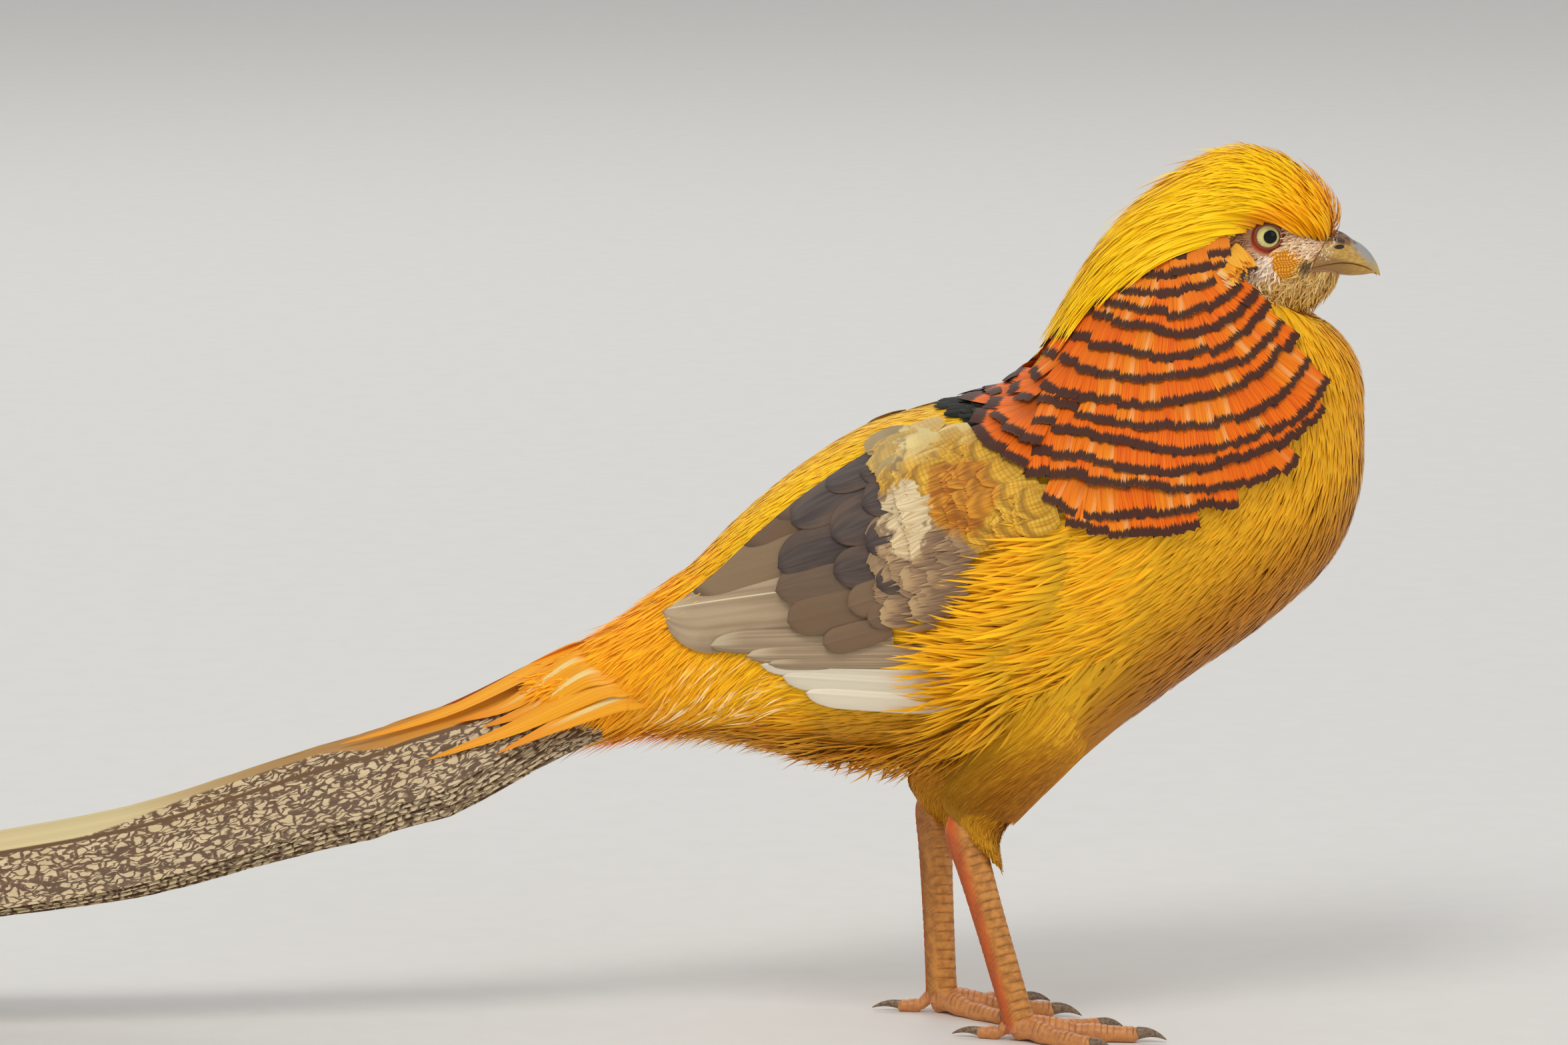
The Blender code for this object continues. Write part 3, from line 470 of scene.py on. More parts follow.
SKIN_ROWS = np.concatenate((np.arange(0.0, 5.5, 0.07), np.arange(5.5, RUMP_END + 0.01, 0.125)))
skin = closed_tube("skin", skin_points(SKIN_ROWS, 112), skin_finish.material)
thighs = bpy.data.collections.new("thighs")
for side, hock, _, _ in LEGS.values():
    f, angle = np.meshgrid(np.linspace(0.06, 1.0, 24), np.linspace(0, 2 * math.pi, 28, endpoint=False),
                           indexing="ij")
    thigh = closed_tube("thigh", thigh_place(side, hock, f, angle, -2.2))
    bpy.context.scene.collection.objects.unlink(thigh)
    thighs.objects.link(thigh)
joining = skin.modifiers.new("joining", "BOOLEAN")
joining.operation = "UNION"
joining.operand_type = "COLLECTION"
joining.collection = thighs
joining.solver = "MANIFOLD"
depsgraph = bpy.context.evaluated_depsgraph_get()
joined = bpy.data.meshes.new_from_object(skin.evaluated_get(depsgraph), depsgraph=depsgraph)
skin.modifiers.clear()
skin.data = joined
for thigh in list(thighs.objects):
    bpy.data.objects.remove(thigh)
bpy.data.collections.remove(thighs)
skin.data.shade_smooth()
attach(skin, "root")
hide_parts("head", "neck", "torso", "rump", "thigh_right", "thigh_left")

# Body plumage. Small soft contour feathers cover neck, breast, back and belly, and finer hair-like ones lie
# on them; each grows from the skin and lies back along the body, lowest at its root and on the outline at its
# tip. Directions in degrees in which the plumage lies as seen from the right, by place on the middle plane.
LIE = [((131, 262), -80), ((141, 236), -95), ((134, 200), -116), ((110, 165), -140), ((80, 140), -147),
       ((50, 118), -152), ((100, 205), -132), ((70, 180), -150), ((60, 215), -148), ((40, 160), -166),
       ((15, 190), -176), ((-12, 150), 173), ((15, 130), -164), ((-30, 118), -176), ((-20, 230), -171),
       ((-65, 213), -155), ((-90, 195), -144), ((-120, 166), -143), ((-150, 141), -156), ((-80, 112), 180),
       ((-100, 124), -114), ((-132, 124), -110), ((-150, 124), -150), ((-185, 112), -161), ((20, 250), -120),
       ((85, 262), -110), ((20, 85), -104), ((0, 98), -128), ((-18, 104), -148), ((-45, 150), -172),
       ((-220, 104), -162)]


def flow(table, reach):
    """Function that gives the direction of the plumage at places of the bird, from a table of directions."""
    known = np.array([row[0] for row in table], float)
    angles = np.radians([row[1] for row in table])
    ways = np.stack((np.cos(angles), np.sin(angles)), axis=-1)

    def lie(places):
        gap = np.linalg.norm(places[..., (0, 2)][..., None, :] - known, axis=-1)
        weight = np.exp(-(gap / reach) ** 2) + 1e-7 / (gap + 1.0)
        way = (weight[..., None] * ways).sum(axis=-2)
        return unit(np.stack((way[..., 0], np.zeros(way.shape[:-1]), way[..., 1]), axis=-1))

    return lie


body_lie = flow(LIE, 24.0)


def trails(t, turn, length, low, high, steps, way=body_lie, ease=1.0, sway=0.0):
    """Lines laid on the form from their roots, with the outward direction at each point."""
    t = np.array(t, float)
    turn = np.array(turn, float)
    lines, outs = [], []
    for k in range(steps + 1):
        top = high(t, turn) if callable(high) else high
        lift = low + (top - low) * (k / steps) ** ease
        by_t, by_turn, out = slopes(t, turn, lift)
        here = on_body(t, turn, lift)
        lines.append(here)
        outs.append(out)
        ahead = way(here)
        side = np.cross(ahead, out)
        ahead = ahead + side * np.asarray(sway)[..., None]
        tt, td, dd = (by_t * by_t).sum(-1), (by_t * by_turn).sum(-1), (by_turn * by_turn).sum(-1)
        p, q = (by_t * ahead).sum(-1), (by_turn * ahead).sum(-1)
        det = np.maximum(tt * dd - td * td, 1e-6)
        move_t, move_turn = (dd * p - td * q) / det, (tt * q - td * p) / det
        speed = np.linalg.norm(by_t * move_t[:, None] + by_turn * move_turn[:, None], axis=-1)
        pace = length / steps / np.maximum(speed, 0.05)
        t = t + np.clip(move_t * pace, -0.9, 0.9)
        turn = turn + np.clip(move_turn * pace, -40.0, 40.0)
    return np.stack(lines, axis=1), np.stack(outs, axis=1)


def blades(lines, outs, width, outline, columns, crown=0.0, roll=0.0, ragged=0.0, chance=None):
    """Grid of points for each feather: steps along its line, columns across it, its edges bent down by crown."""
    steps = lines.shape[1]
    ahead = unit(np.gradient(lines, axis=1))
    across = unit(np.cross(ahead, outs))
    up = np.cross(across, ahead)
    roll = np.broadcast_to(np.asarray(roll, float), (len(lines),))[:, None, None]
    across, up = across * np.cos(roll) + up * np.sin(roll), up * np.cos(roll) - across * np.sin(roll)
    f = np.linspace(0, 1, steps)
    half = np.asarray(width)[:, None] * np.interp(f, np.linspace(0, 1, len(outline)), outline) / 2
    c = np.linspace(-1, 1, columns)
    points = lines[:, :, None, :] + across[:, :, None, :] * (half[:, :, None] * c)[..., None]
    sag = np.broadcast_to(np.asarray(crown, float), (len(lines),))[:, None, None] * half[:, :, None] * c * c
    points = points - up[:, :, None, :] * sag[..., None]
    if np.any(ragged) and chance is not None:
        fray = chance.uniform(-1, 0.35, (len(lines), columns)) * ragged
        reach = (f ** 3)[None, :, None] * fray[:, None, :]
        points = points + ahead[:, :, None, :] * reach[..., None]
    return points


def patches(t, turn, size=0.003):
    """Small patch of the unwrapped form for each feather, at its root's place."""
    corner = np.stack((np.mod(turn, 360.0) / 360.0, np.clip(t, 0, 21) / 21.0), axis=-1)
    return 0.005 + corner * 0.985, np.full(len(corner), size)


def feathers(name, grids, roots, homes, finish, luck, extra=None, replaces=()):
    """One mesh from the grids of many feathers, with the numbers that its material reads."""
    points = np.concatenate([g.reshape(-1, 3) for g in grids])
    faces, alongs, acrosses, chances, places, corner_uv = [], [], [], [], [], []
    start = 0
    for grid, root, home, chance in zip(grids, roots, homes, luck):
        count, steps, columns = grid.shape[:3]
        one = grid_faces(steps, columns)
        faces.append((one[None] + start + (np.arange(count) * steps * columns)[:, None, None]).reshape(-1, 4))
        f, c = np.meshgrid(np.linspace(0, 1, steps), np.linspace(-1, 1, columns), indexing="ij")
        alongs.append(np.tile(f.ravel(), count))
        acrosses.append(np.tile(c.ravel(), count))
        chances.append(np.repeat(chance, steps * columns))
        places.append(np.repeat(root, steps * columns, axis=0))
        corner, size = home
        uv = np.stack((c.ravel() * 0.5 + 0.5, f.ravel()), axis=-1)
        corner_uv.append((corner[:, None, :] + uv[None] * size[:, None, None]).reshape(-1, 2))
        start += count * steps * columns
    faces = np.concatenate(faces)
    mesh = bpy.data.meshes.new(name)
    mesh.vertices.add(len(points))
    mesh.vertices.foreach_set("co", metres(points).ravel())
    mesh.loops.add(faces.size)
    mesh.loops.foreach_set("vertex_index", faces.ravel())
    mesh.polygons.add(len(faces))
    mesh.polygons.foreach_set("loop_start", np.arange(len(faces)) * 4)
    mesh.polygons.foreach_set("use_smooth", np.ones(len(faces), bool))
    uv = mesh.uv_layers.new(name="OFBake")
    uv.data.foreach_set("uv", np.concatenate(corner_uv)[faces.ravel()].ravel())
    numbers = {"lengthwise": np.concatenate(alongs), "crosswise": np.concatenate(acrosses),
               "luck": np.concatenate(chances)}
    for key, values in (extra or {}).items():
        per_feather = np.concatenate(values)
        numbers[key] = np.repeat(per_feather, np.concatenate([np.full(g.shape[0], g.shape[1] * g.shape[2])
                                                              for g in grids]))
    for key, values in numbers.items():
        mesh.attributes.new(key, "FLOAT", "POINT").data.foreach_set("value", values.astype(np.float32))
    mesh.attributes.new("root", "FLOAT_VECTOR", "POINT").data.foreach_set("vector",
                                                                          np.concatenate(places).ravel())
    mesh.update()
    mesh.validate()
    made = bpy.data.objects.new(name, mesh)
    bpy.context.scene.collection.objects.link(made)
    mesh.materials.append(finish)
    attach(made, "root")
    if replaces:
        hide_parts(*replaces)
    return made


def scattered(t0, t1, pitch, spacing, luck, turn0=0.0, turn1=360.0, lift=0.0):
    """Roots in staggered rows over a stretch of the form, pitch apart along it and spacing apart round it."""
    ts, turns = [], []
    t = t0
    row = 0
    while t < t1:
        turn = np.linspace(turn0, turn1, 73)
        by_t, by_turn, _ = slopes(np.full(73, t), turn, lift)
        arc = np.concatenate(([0.0], np.cumsum(np.linalg.norm(by_turn, axis=-1)[1:] * (turn[1] - turn[0]))))
        count = max(2, int(arc[-1] / spacing))
        place = (np.arange(count) + 0.5 * (row % 2) + luck.uniform(-0.35, 0.35, count)) / count * arc[-1]
        turns.append(np.interp(place, arc, turn))
        pace = np.linalg.norm(by_t, axis=-1).mean()
        ts.append(t + luck.uniform(-0.4, 0.4, count) * pitch / pace)
        t += pitch / pace
        row += 1
    return np.concatenate(ts), np.concatenate(turns)


def barbs(mix, count=26.0):
    """Fine streaks along a feather, from its numbers across and along it."""
    lengthwise, crosswise, luck = (mix.attribute(key) for key in ("lengthwise", "crosswise", "luck"))
    where = mix.node("ShaderNodeCombineXYZ", {}, {0: crosswise * count, 1: lengthwise * 1.5, 2: luck * 40.0})
    return mix.node("ShaderNodeTexNoise", {}, {"Vector": where, "Scale": 1.0,
                                               "Detail": 1.0}), lengthwise, luck


def plumage_finish(name, dark=0.62, bright=1.12, count=8.0, tint=None, share=0.0, white=0.0):
    """Soft feather material in the colours of the body plumage, with painted shade darkening the root of each
    feather and painted light brightening its tip.
    """
    mix = Finish(name, Roughness=0.55, Specular_IOR_Level=0.3, Sheen_Weight=0.1, Sheen_Roughness=0.4)
    streak, lengthwise, luck = barbs(mix, count)
    tone, x, z = plumage(mix, mix.attribute("root", 1))
    if white:
        place = 1.0 - (x + 86.0) * (x + 86.0) / 900.0 - (z - 134.0) * (z - 134.0) / 420.0
        tone = mix.blend(tone, colour(255, 246, 206), place.step(0.0, 0.5) * luck.step(0.74, 0.84) * white)
    if tint:
        tone = mix.blend(tone, tint, share)
    # Painted shade and light: each feather goes from dark at its covered root to bright at its tip, with streaks
    # and random tone on top.
    light = ((lengthwise.step(0.0, 0.75) * (bright - dark) + dark) * (luck * 0.22 + 0.89)
             * (streak * 0.4 + 0.81))
    return mix.feed(Base_Color=mix.dim(tone, light), bump=streak, depth=0.0002)


soft = np.random.default_rng(11)
t, turn = scattered(5.3, 18.2, 5.2, 4.6, soft)
size = len(t)
length = 15.0 + 3.0 * (t > 8) + soft.uniform(-2, 2, size)
lines, outs = trails(t, turn, length, -coat_depth(t) + 0.6, soft.uniform(-1.6, -0.7, size), 5)
grid = blades(lines, outs, 8.5 + soft.uniform(-1, 1, size), (0.5, 0.9, 1.0, 0.95, 0.6, 0.25), 5, 0.10,
              soft.uniform(-0.08, 0.08, size), 2.6, soft)
contour_finish = plumage_finish("contour_feathers", 0.8, 1.06, 9.0)
feathers("contour_feathers", [grid], [lines[:, 0]], [patches(t, turn)], contour_finish,
         [soft.uniform(0, 1, size)])

fine = np.random.default_rng(12)
fine_finish = plumage_finish("fine_plumage", 0.94, 1.1, 3.0)
for label, start, end in (("fore", 5.4, 9.2), ("middle", 9.2, 12.8), ("hind", 12.8, 18.3)):
    t, turn = scattered(start, end, 2.6, 1.75, fine)
    size = len(t)
    length = 12.0 + fine.uniform(-2, 3, size)
    proud = 1.3 * np.clip((7.4 - t) / 1.4, 0.0, 1.0)
    lines, outs = trails(t, turn, length, -1.2, fine.uniform(-0.16, 0.16, size) + proud, 4,
                         sway=fine.uniform(-0.12, 0.12, size))
    grid = blades(lines, outs, 1.75 + fine.uniform(-0.4, 0.4, size), (0.6, 1.0, 0.9, 0.55, 0.1), 2, 0.0,
                  fine.uniform(-0.12, 0.12, size))
    feathers("fine_plumage_" + label, [grid], [lines[:, 0]], [patches(t, turn)], fine_finish,
             [fine.uniform(0, 1, size)])

# Long hair-like plumage. The flanks, back, rump and vent carry loose golden feathers whose ends part into
# hair-like points; those of the flank reach over the front edge of the folded wing.
LONG_ZONES = [
    # from and to along the body, pitch, spacing, length, width, tip's height, kept where
    ("flank", 7.6, 14.2, 3.1, 2.0, 27.0, 2.0, 1.2),
    ("rump", 13.6, 18.6, 2.7, 1.7, 25.0, 1.4, 0.9),
    ("belly", 10.2, 17.4, 2.6, 1.7, 23.0, 1.7, 0.0),
]


def wing_near(places):
    """Share of the stretch where the flank's feathers lie over the wing."""
    x, z = places[:, 0], places[:, 2]
    z = z - np.abs(places[:, 1]) * math.tan(LOOK_DOWN)
    ahead = x - np.interp(z, (124.0, 134.0, 149.0, 162.0, 174.0, 187.0, 202.0),
                          (-4.0, -8.0, -5.0, 12.0, 19.0, 30.0, 44.0))
    over = (np.clip(1.5 - np.abs(ahead - 10.0) / 12.0, 0.0, 1.0) * (ahead > -3.0)
            * np.clip((40.0 - x) / 8.0, 0.0, 1.0))
    return over * (z > 118.0) * (z < 208.0) * (np.abs(places[:, 1]) > 20.0)


def thigh_near(places):
    """Share of the stretch where the flank's feathers lie over the top of the thigh."""
    x, z = places[:, 0], places[:, 2]
    away = ((x - 30.0) / 26.0) ** 2 + ((z - 134.0) / 20.0) ** 2
    return np.clip(1.6 - away, 0.0, 1.0) * (np.abs(places[:, 1]) > 12.0)


def zone_of(label, places, turn):
    """Which roots belong to a zone of long plumage."""
    x, z = places[:, 0], places[:, 2]
    side = np.abs((turn + 180.0) % 360.0 - 180.0)
    if label == "flank":
        bare = (z > 121.0) & (z < 143.0) & (x < -8.0) & (side < 120.0)
        return ((z < 214.0) & (x < 66.0 + (z - 160.0) * 0.3) & (side > 48.0) & (side < 168.0) & (x > -70.0)
                & ~bare)
    if label == "belly":
        return (side > 132.0) & (x < 22.0) & (x > -168.0)
    return x < -52.0


def hang(places, turn):
    """How far the fringe of vent and belly hangs under the form."""
    side = np.abs((turn + 180.0) % 360.0 - 180.0)
    deep = np.interp(places[:, 0], (-190, -160, -120, -100, -60, -20, 0, 10, 20),
                     (0, 3, 7, 13, 17, 20, 31, 22, 0))
    return deep * np.clip((side - 105.0) / 45.0, 0.0, 1.0)


long_luck = np.random.default_rng(21)
long_finish = plumage_finish("long_plumage", 0.8, 1.24, 3.0, colour(255, 186, 8), 0.35, 0.9)
for label, start, end, pitch, spacing, span, width, rise in LONG_ZONES:
    t, turn = scattered(start, end, pitch, spacing, long_luck)
    here = on_body(t, turn)
    kept = zone_of(label, here, turn)
    t, turn, here = t[kept], turn[kept], here[kept]
    size = len(t)
    near = wing_near(here)
    deep = hang(here, turn) * long_luck.uniform(0.4, 1.05, size) ** np.where(here[:, 0] > -8.0, 0.35, 1.0)
    high = (rise + long_luck.uniform(-1.2, 0.6, size) + 8.0 * near + deep + 3.5 * thigh_near(here)
            * (label == "flank"))
    length = span * long_luck.uniform(0.7, 1.25, size)
    length *= np.where(here[:, 2] > 122.0, np.interp(here[:, 0], (-160.0, -125.0), (0.45, 1.0)), 1.0)
    sway = long_luck.uniform(-0.18, 0.18, size)
    lines, outs = trails(t, turn, length, -2.0 + 1.4 * near, high, 6, ease=0.7, sway=sway)
    kept = (label != "flank") | (lines[:, -1, 0] < lines[:, 0, 0] - 9.0)
    lines, outs, t, turn = lines[kept], outs[kept], t[kept], turn[kept]
    size = len(t)
    bow = long_luck.normal(0, 1.0, size)[:, None] * np.linspace(0, 1, 7) ** 2 * 1.3
    lines = lines + np.array((0.0, 0.0, 1.0)) * bow[..., None]
    grid = blades(lines, outs, width * long_luck.uniform(0.5, 1.25, size),
                  (0.4, 0.9, 1.0, 0.86, 0.62, 0.34, 0.03), 3,
                  0.35, long_luck.uniform(-0.35, 0.35, size))
    feathers("long_plumage_" + label, [grid], [lines[:, 0]], [patches(t, turn)], long_finish,
             [long_luck.uniform(0, 1, size)])

# Neck cape, or ruff. On each side broad square-ended feathers hang from the nape in curved rows, bright
# orange with a ragged dark bar along each end; every row lies over the next, and the rearmost ones reach the
# mantle. Rows of the feathers' ends, from behind forwards, as seen from the right side.
RUFF_ROWS = [
    [(2.0, 243.8), (0.4, 236.0), (0.6, 228.0), (3.7, 221.7), (9.5, 217.0), (17.7, 212.3)],
    [(8.4, 247.5), (7.2, 240.0), (7.8, 233.0), (11.5, 227.5), (17.7, 222.9), (23.6, 220.5)],
    [(15.0, 251.5), (14.2, 246.5), (15.8, 241.0), (21.2, 235.5)],
    [(31.6, 190.3), (42.0, 188.2), (52.9, 187.5), (66.0, 188.0), (79.0, 190.1)],
    [(23.2, 200.1), (30.0, 196.6), (42.5, 193.2), (59.2, 194.4), (73.8, 196.5), (93.0, 198.7)],
    [(18.5, 210.0), (30.0, 209.0), (42.5, 207.0), (59.2, 204.8), (79.0, 203.8), (105.0, 209.0),
     (115.4, 217.0)],
    [(21.1, 218.0), (35.0, 215.5), (52.9, 211.3), (70.0, 210.5), (90.4, 214.0), (107.0, 220.0),
     (125.8, 234.3)],
    [(21.7, 229.0), (38.3, 224.3), (58.1, 220.5), (73.8, 218.4), (94.6, 221.5), (115.4, 232.0),
     (127.4, 245.3)],
    [(24.0, 238.5), (43.5, 230.0), (64.0, 226.8), (84.2, 228.5), (98.0, 232.0), (111.3, 240.8),
     (121.5, 252.5)],
    [(19.6, 249.0), (30.0, 240.6), (45.6, 237.3), (68.5, 235.6), (90.4, 240.6), (105.0, 250.0),
     (116.5, 263.0)],
    [(25.3, 256.3), (44.6, 246.8), (66.5, 245.0), (89.4, 249.0), (102.0, 256.9), (111.0, 267.6)],
    [(30.0, 263.5), (43.5, 258.8), (66.5, 253.0), (86.4, 256.4), (97.5, 264.3), (106.5, 275.0)],
    [(37.8, 271.0), (60.2, 264.8), (76.0, 262.0), (90.4, 266.4), (103.0, 279.6)],
    [(42.5, 276.4), (56.0, 272.0), (69.6, 269.0), (84.0, 271.0), (97.0, 281.0)],
    [(47.7, 280.5), (58.0, 277.9), (70.5, 276.6), (81.0, 278.6), (94.0, 284.5)],
    [(52.9, 285.0), (65.4, 283.6), (79.0, 284.6), (93.5, 289.0)],
    [(61.3, 290.0), (75.0, 289.6), (92.5, 292.6)],
    [(70.5, 296.0), (83.5, 296.2)],
]
RUFF_PITCH = 7.4
# Feathers laid on the side come down to the body towards the midline of the back, between these degrees.
BACK_EASE = (16.0, 52.0)
RUFF_SPAN = 26.0


def laid(roots, tips, steps, low, high, back=0.3):
    """Lines on the right side between places of the middle plane, as someone sees them, rising to their tips."""
    share = np.linspace(0, 1, steps + 1)
    t, turn = seen(roots[:, None, :] + (tips - roots)[:, None, :] * share[:, None])
    low, high = (np.broadcast_to(v, len(roots))[:, None] for v in (low, high))
    lift = (low + (high - low) * share) * np.interp(turn, BACK_EASE, (back, 1.0))
    return on_body(t, turn, lift), slopes(t, turn, lift)[2], np.stack((t[:, 0], turn[:, 0]), axis=-1)


def mirrored(points):
    """The same places on the other side of the bird."""
    return points * (1.0, -1.0, 1.0)


def along_row(row, pitch):
    """Places spaced along a row with their direction across it, to the lower side."""
    line = along(np.array(row), np.linspace(0, len(row) - 1, 120))
    arc = np.concatenate(([0.0], np.cumsum(np.linalg.norm(np.diff(line, axis=0), axis=-1))))
    count = max(2, round(arc[-1] / pitch))
    place = (np.arange(count) + 0.5) / count * arc[-1]
    spots = np.stack([np.interp(place, arc, line[:, k]) for k in (0, 1)], axis=-1)
    ways = unit(np.stack([np.interp(place, arc, np.gradient(line[:, k], arc)) for k in (0, 1)], axis=-1))
    return spots, np.stack((ways[:, 1], -ways[:, 0]), axis=-1), arc[-1] / count


ruff_luck = np.random.default_rng(31)
roots, tips, widths, heights = [], [], [], []
for number, row in enumerate(RUFF_ROWS):
    spots, ways, pace = along_row(row, RUFF_PITCH)
    far = ruff_luck.uniform(-0.9, 0.9, (len(spots), 1))
    turned = ways + ruff_luck.uniform(-0.05, 0.05, (len(spots), 2))
    tips.append(spots + ways * far)
    small = max(0, number - 13) / 4.0
    roots.append(spots + ways * far - turned * RUFF_SPAN * (1.0 - 0.55 * small)
                 * (0.6 if number < 3 else 1.0))
    widths.append(np.full(len(spots), pace * 1.3))
    heights.append(4.2 + 0.07 * number + 1.6 * (number < 3) - 2.6 * small
                   + ruff_luck.uniform(-0.3, 0.4, len(spots)))
roots, tips, widths, heights = (np.concatenate(v) for v in (roots, tips, widths, heights))
# Roots that would lie beyond the outline of the neck are drawn back on to it.
for _ in range(8):
    beyond = np.linalg.norm(as_seen(on_body(*seen(roots))) - roots, axis=-1) > 0.6
    roots[beyond] += (tips - roots)[beyond] * 0.2
lines, outs, homes = laid(roots, tips, 10, 1.2, heights, 0.85)

ruff_mix = Finish("ruff_feathers", Roughness=0.55, Specular_IOR_Level=0.2, Sheen_Weight=0.04)
streak, lengthwise, chance = barbs(ruff_mix, 13.0)
fine_streak, _, _ = barbs(ruff_mix, 34.0)
crosswise = ruff_mix.attribute("crosswise")
from_end = ruff_mix.attribute("span") * (1.0 - lengthwise)
x, y, z = ruff_mix.parts(ruff_mix.attribute("root", 1))
tone = ruff_mix.blend(colour(230, 80, 0), colour(252, 122, 2), streak.step(0.25, 0.65))
middle = abs(x - 70.0).step(52.0, 20.0)
tone = ruff_mix.blend(tone, colour(252, 158, 28), chance.step(0.45, 0.9) * fine_streak.step(0.35, 0.7)
                      * (middle * 0.7 + 0.2))
tone = ruff_mix.blend(tone, colour(250, 150, 40), z.step(296.0, 310.0) * 0.7)
pale_shaft = (abs(crosswise + (chance - 0.5) * 0.8).step(0.32, 0.05) * chance.step(0.62, 0.7)
              * lengthwise.step(0.5, 0.9))
tone = ruff_mix.blend(tone, colour(255, 192, 124), pale_shaft * middle * 0.6)
edge = from_end + (fine_streak - 0.5) * 3.4 + (streak - 0.5) * 2.2 + (x - 70.0) * 0.013 + (chance - 0.5) * 0.8
bar = edge.step(3.6, 2.8)
tone = ruff_mix.blend(tone, ruff_mix.blend(colour(76, 46, 34), colour(50, 33, 30), streak), bar * 0.97)
tip = from_end.step(0.5, 0.15) * chance.step(0.4, 0.6) * fine_streak.step(0.5, 0.6) * 0.6
tone = ruff_mix.blend(tone, colour(170, 110, 64), tip)
# Fine streaks vary the tone, and painted shade darkens each ruff feather towards its root, where the next row
# lies over it.
tone = ruff_mix.dim(tone, (fine_streak * 0.36 + 0.82) * (lengthwise.step(0.3, 0.8) * 0.35 + 0.65))
ruff_mix.feed(Base_Color=tone, bump=fine_streak, depth=0.0003)


def packed(count, share=0.9):
    """A square of its own for each large feather, in rows over the whole map."""
    side = math.ceil(math.sqrt(count))
    n = np.arange(count)
    return np.stack((n % side, n // side), axis=-1) / side + 0.002, np.full(count, share / side)


SQUARE_END = (0.45, 0.66, 0.82, 0.93, 1.0, 1.02, 1.0, 0.97)
for word, turned in (("right", lambda p: p), ("left", mirrored)):
    grid = turned(blades(lines, outs, widths, SQUARE_END, 13, 0.10,
                         ruff_luck.uniform(-0.05, 0.05, len(roots)), 1.0,
                         ruff_luck))
    span = np.linalg.norm(tips - roots, axis=-1)
    feathers("ruff_" + word + "_feathers", [grid], [turned(lines[:, 0])], [packed(len(roots))],
             ruff_mix.material,
             [ruff_luck.uniform(0, 1, len(roots))], {"span": [span]}, ("ruff_" + word,))

# Mantle. A patch of short rounded feathers behind the ruff, black-green with a faint gloss.
mantle_luck = np.random.default_rng(41)
t, turn = scattered(8.45, 9.5, 3.4, 4.4, mantle_luck, -50.0, 50.0)
here = on_body(t, turn)
kept = (here[:, 2] - np.abs(here[:, 1]) * math.tan(LOOK_DOWN) > 221.0) & (here[:, 0] > -7.0)
t, turn = t[kept], turn[kept]
size = len(t)
lines, outs = trails(t, turn, mantle_luck.uniform(9.0, 12.0, size), 0.2, mantle_luck.uniform(1.4, 2.4, size),
                     7)
mantle_mix = Finish("mantle_feathers", Roughness=0.6, Specular_IOR_Level=0.1)
streak, lengthwise, chance = barbs(mantle_mix, 12.0)
tone = mantle_mix.blend(colour(20, 21, 14), colour(40, 39, 28), streak.step(0.35, 0.8))
tone = mantle_mix.blend(tone, colour(80, 70, 54), lengthwise.step(0.9, 1.0) * chance * 0.4)
mantle_mix.feed(Base_Color=tone, bump=streak, depth=0.0003)
grid = blades(lines, outs, mantle_luck.uniform(7.0, 9.0, size), (0.6, 0.95, 1.0, 1.0, 0.85, 0.4), 9, 0.16,
              mantle_luck.uniform(-0.1, 0.1, size), 0.5, mantle_luck)
feathers("mantle_feathers", [grid], [lines[:, 0]], [patches(t, turn, 0.012)], mantle_mix.material,
         [mantle_luck.uniform(0, 1, size)], None, ("mantle",))

# Wings, folded. From below upwards: three cream primaries, tan secondaries of which the last is broad with a
# pale shaft, brown tertials, then slate-brown greater and median coverts, laid like tiles round the side.
# Tiers: kind, heights at root and tip, tilt; for each feather its root, tip, and width above and below its shaft.
WING_TIERS = [
    (0, 0.8, 1.8, 0.06,
     [((-9.0, 124.8), (-64.9, 128.6), 2.5, 5.5), ((-9.0, 131.0), (-73.2, 134.5), 3.0, 5.5),
      ((-9.0, 135.5), (-81.0, 138.7), 2.5, 3.8)]),
    (1, 1.4, 3.0, 0.05,
     [((-14.0, 139.5), (-77.9, 139.1), 3.0, 2.4), ((-16.0, 143.5), (-85.7, 141.8), 4.0, 3.0),
      ((-32.1, 147.7), (-98.8, 145.1), 6.0, 3.0), ((-50.8, 169.0), (-118.1, 159.1), 9.0, 19.0)]),
    (2, 2.6, 4.4, 0.04,
     [((-63.3, 179.8), (-107.8, 167.1), 15.0, 6.2), ((-55.0, 199.8), (-89.3, 185.1), 11.5, 6.5),
      ((-50.8, 207.2), (-75.5, 194.2), 9.0, 5.0), ((-38.3, 218.2), (-71.5, 204.0), 7.5, 6.0)]),
    (3, 3.6, 5.4, 0.04,
     [((-33.1, 153.5), (-57.1, 146.4), 5.0, 5.0), ((-38.3, 162.2), (-69.3, 154.2), 7.5, 7.0),
      ((-42.5, 171.4), (-72.8, 165.1), 8.5, 6.8), ((-44.6, 184.3), (-72.1, 173.8), 11.0, 7.4),
      ((-40.4, 206.4), (-68.4, 191.4), 13.6, 7.4), ((-24.8, 224.3), (-53.4, 213.5), 8.0, 6.0)]),
    (4, 4.2, 6.0, 0.04,
     [((-20.6, 163.3), (-40.6, 155.3), 6.0, 5.2), ((-25.8, 168.2), (-47.2, 160.1), 7.0, 6.0),
      ((-30.0, 178.0), (-51.7, 172.2), 8.0, 7.6), ((-30.0, 198.0), (-51.9, 185.8), 10.0, 7.8),
      ((-27.9, 216.3), (-56.2, 205.4), 10.5, 6.4)]),
    (5, 2.6, 6.6, 0.04,
     [((-13.0, 177.0), (-36.5, 168.0), 8.0, 7.0), ((-14.0, 191.0), (-39.5, 182.0), 9.0, 7.0),
      ((-14.0, 207.0), (-40.5, 197.0), 9.5, 7.0), ((-16.0, 219.0), (-42.5, 209.5), 5.0, 6.5)]),
]
wing_luck = np.random.default_rng(51)
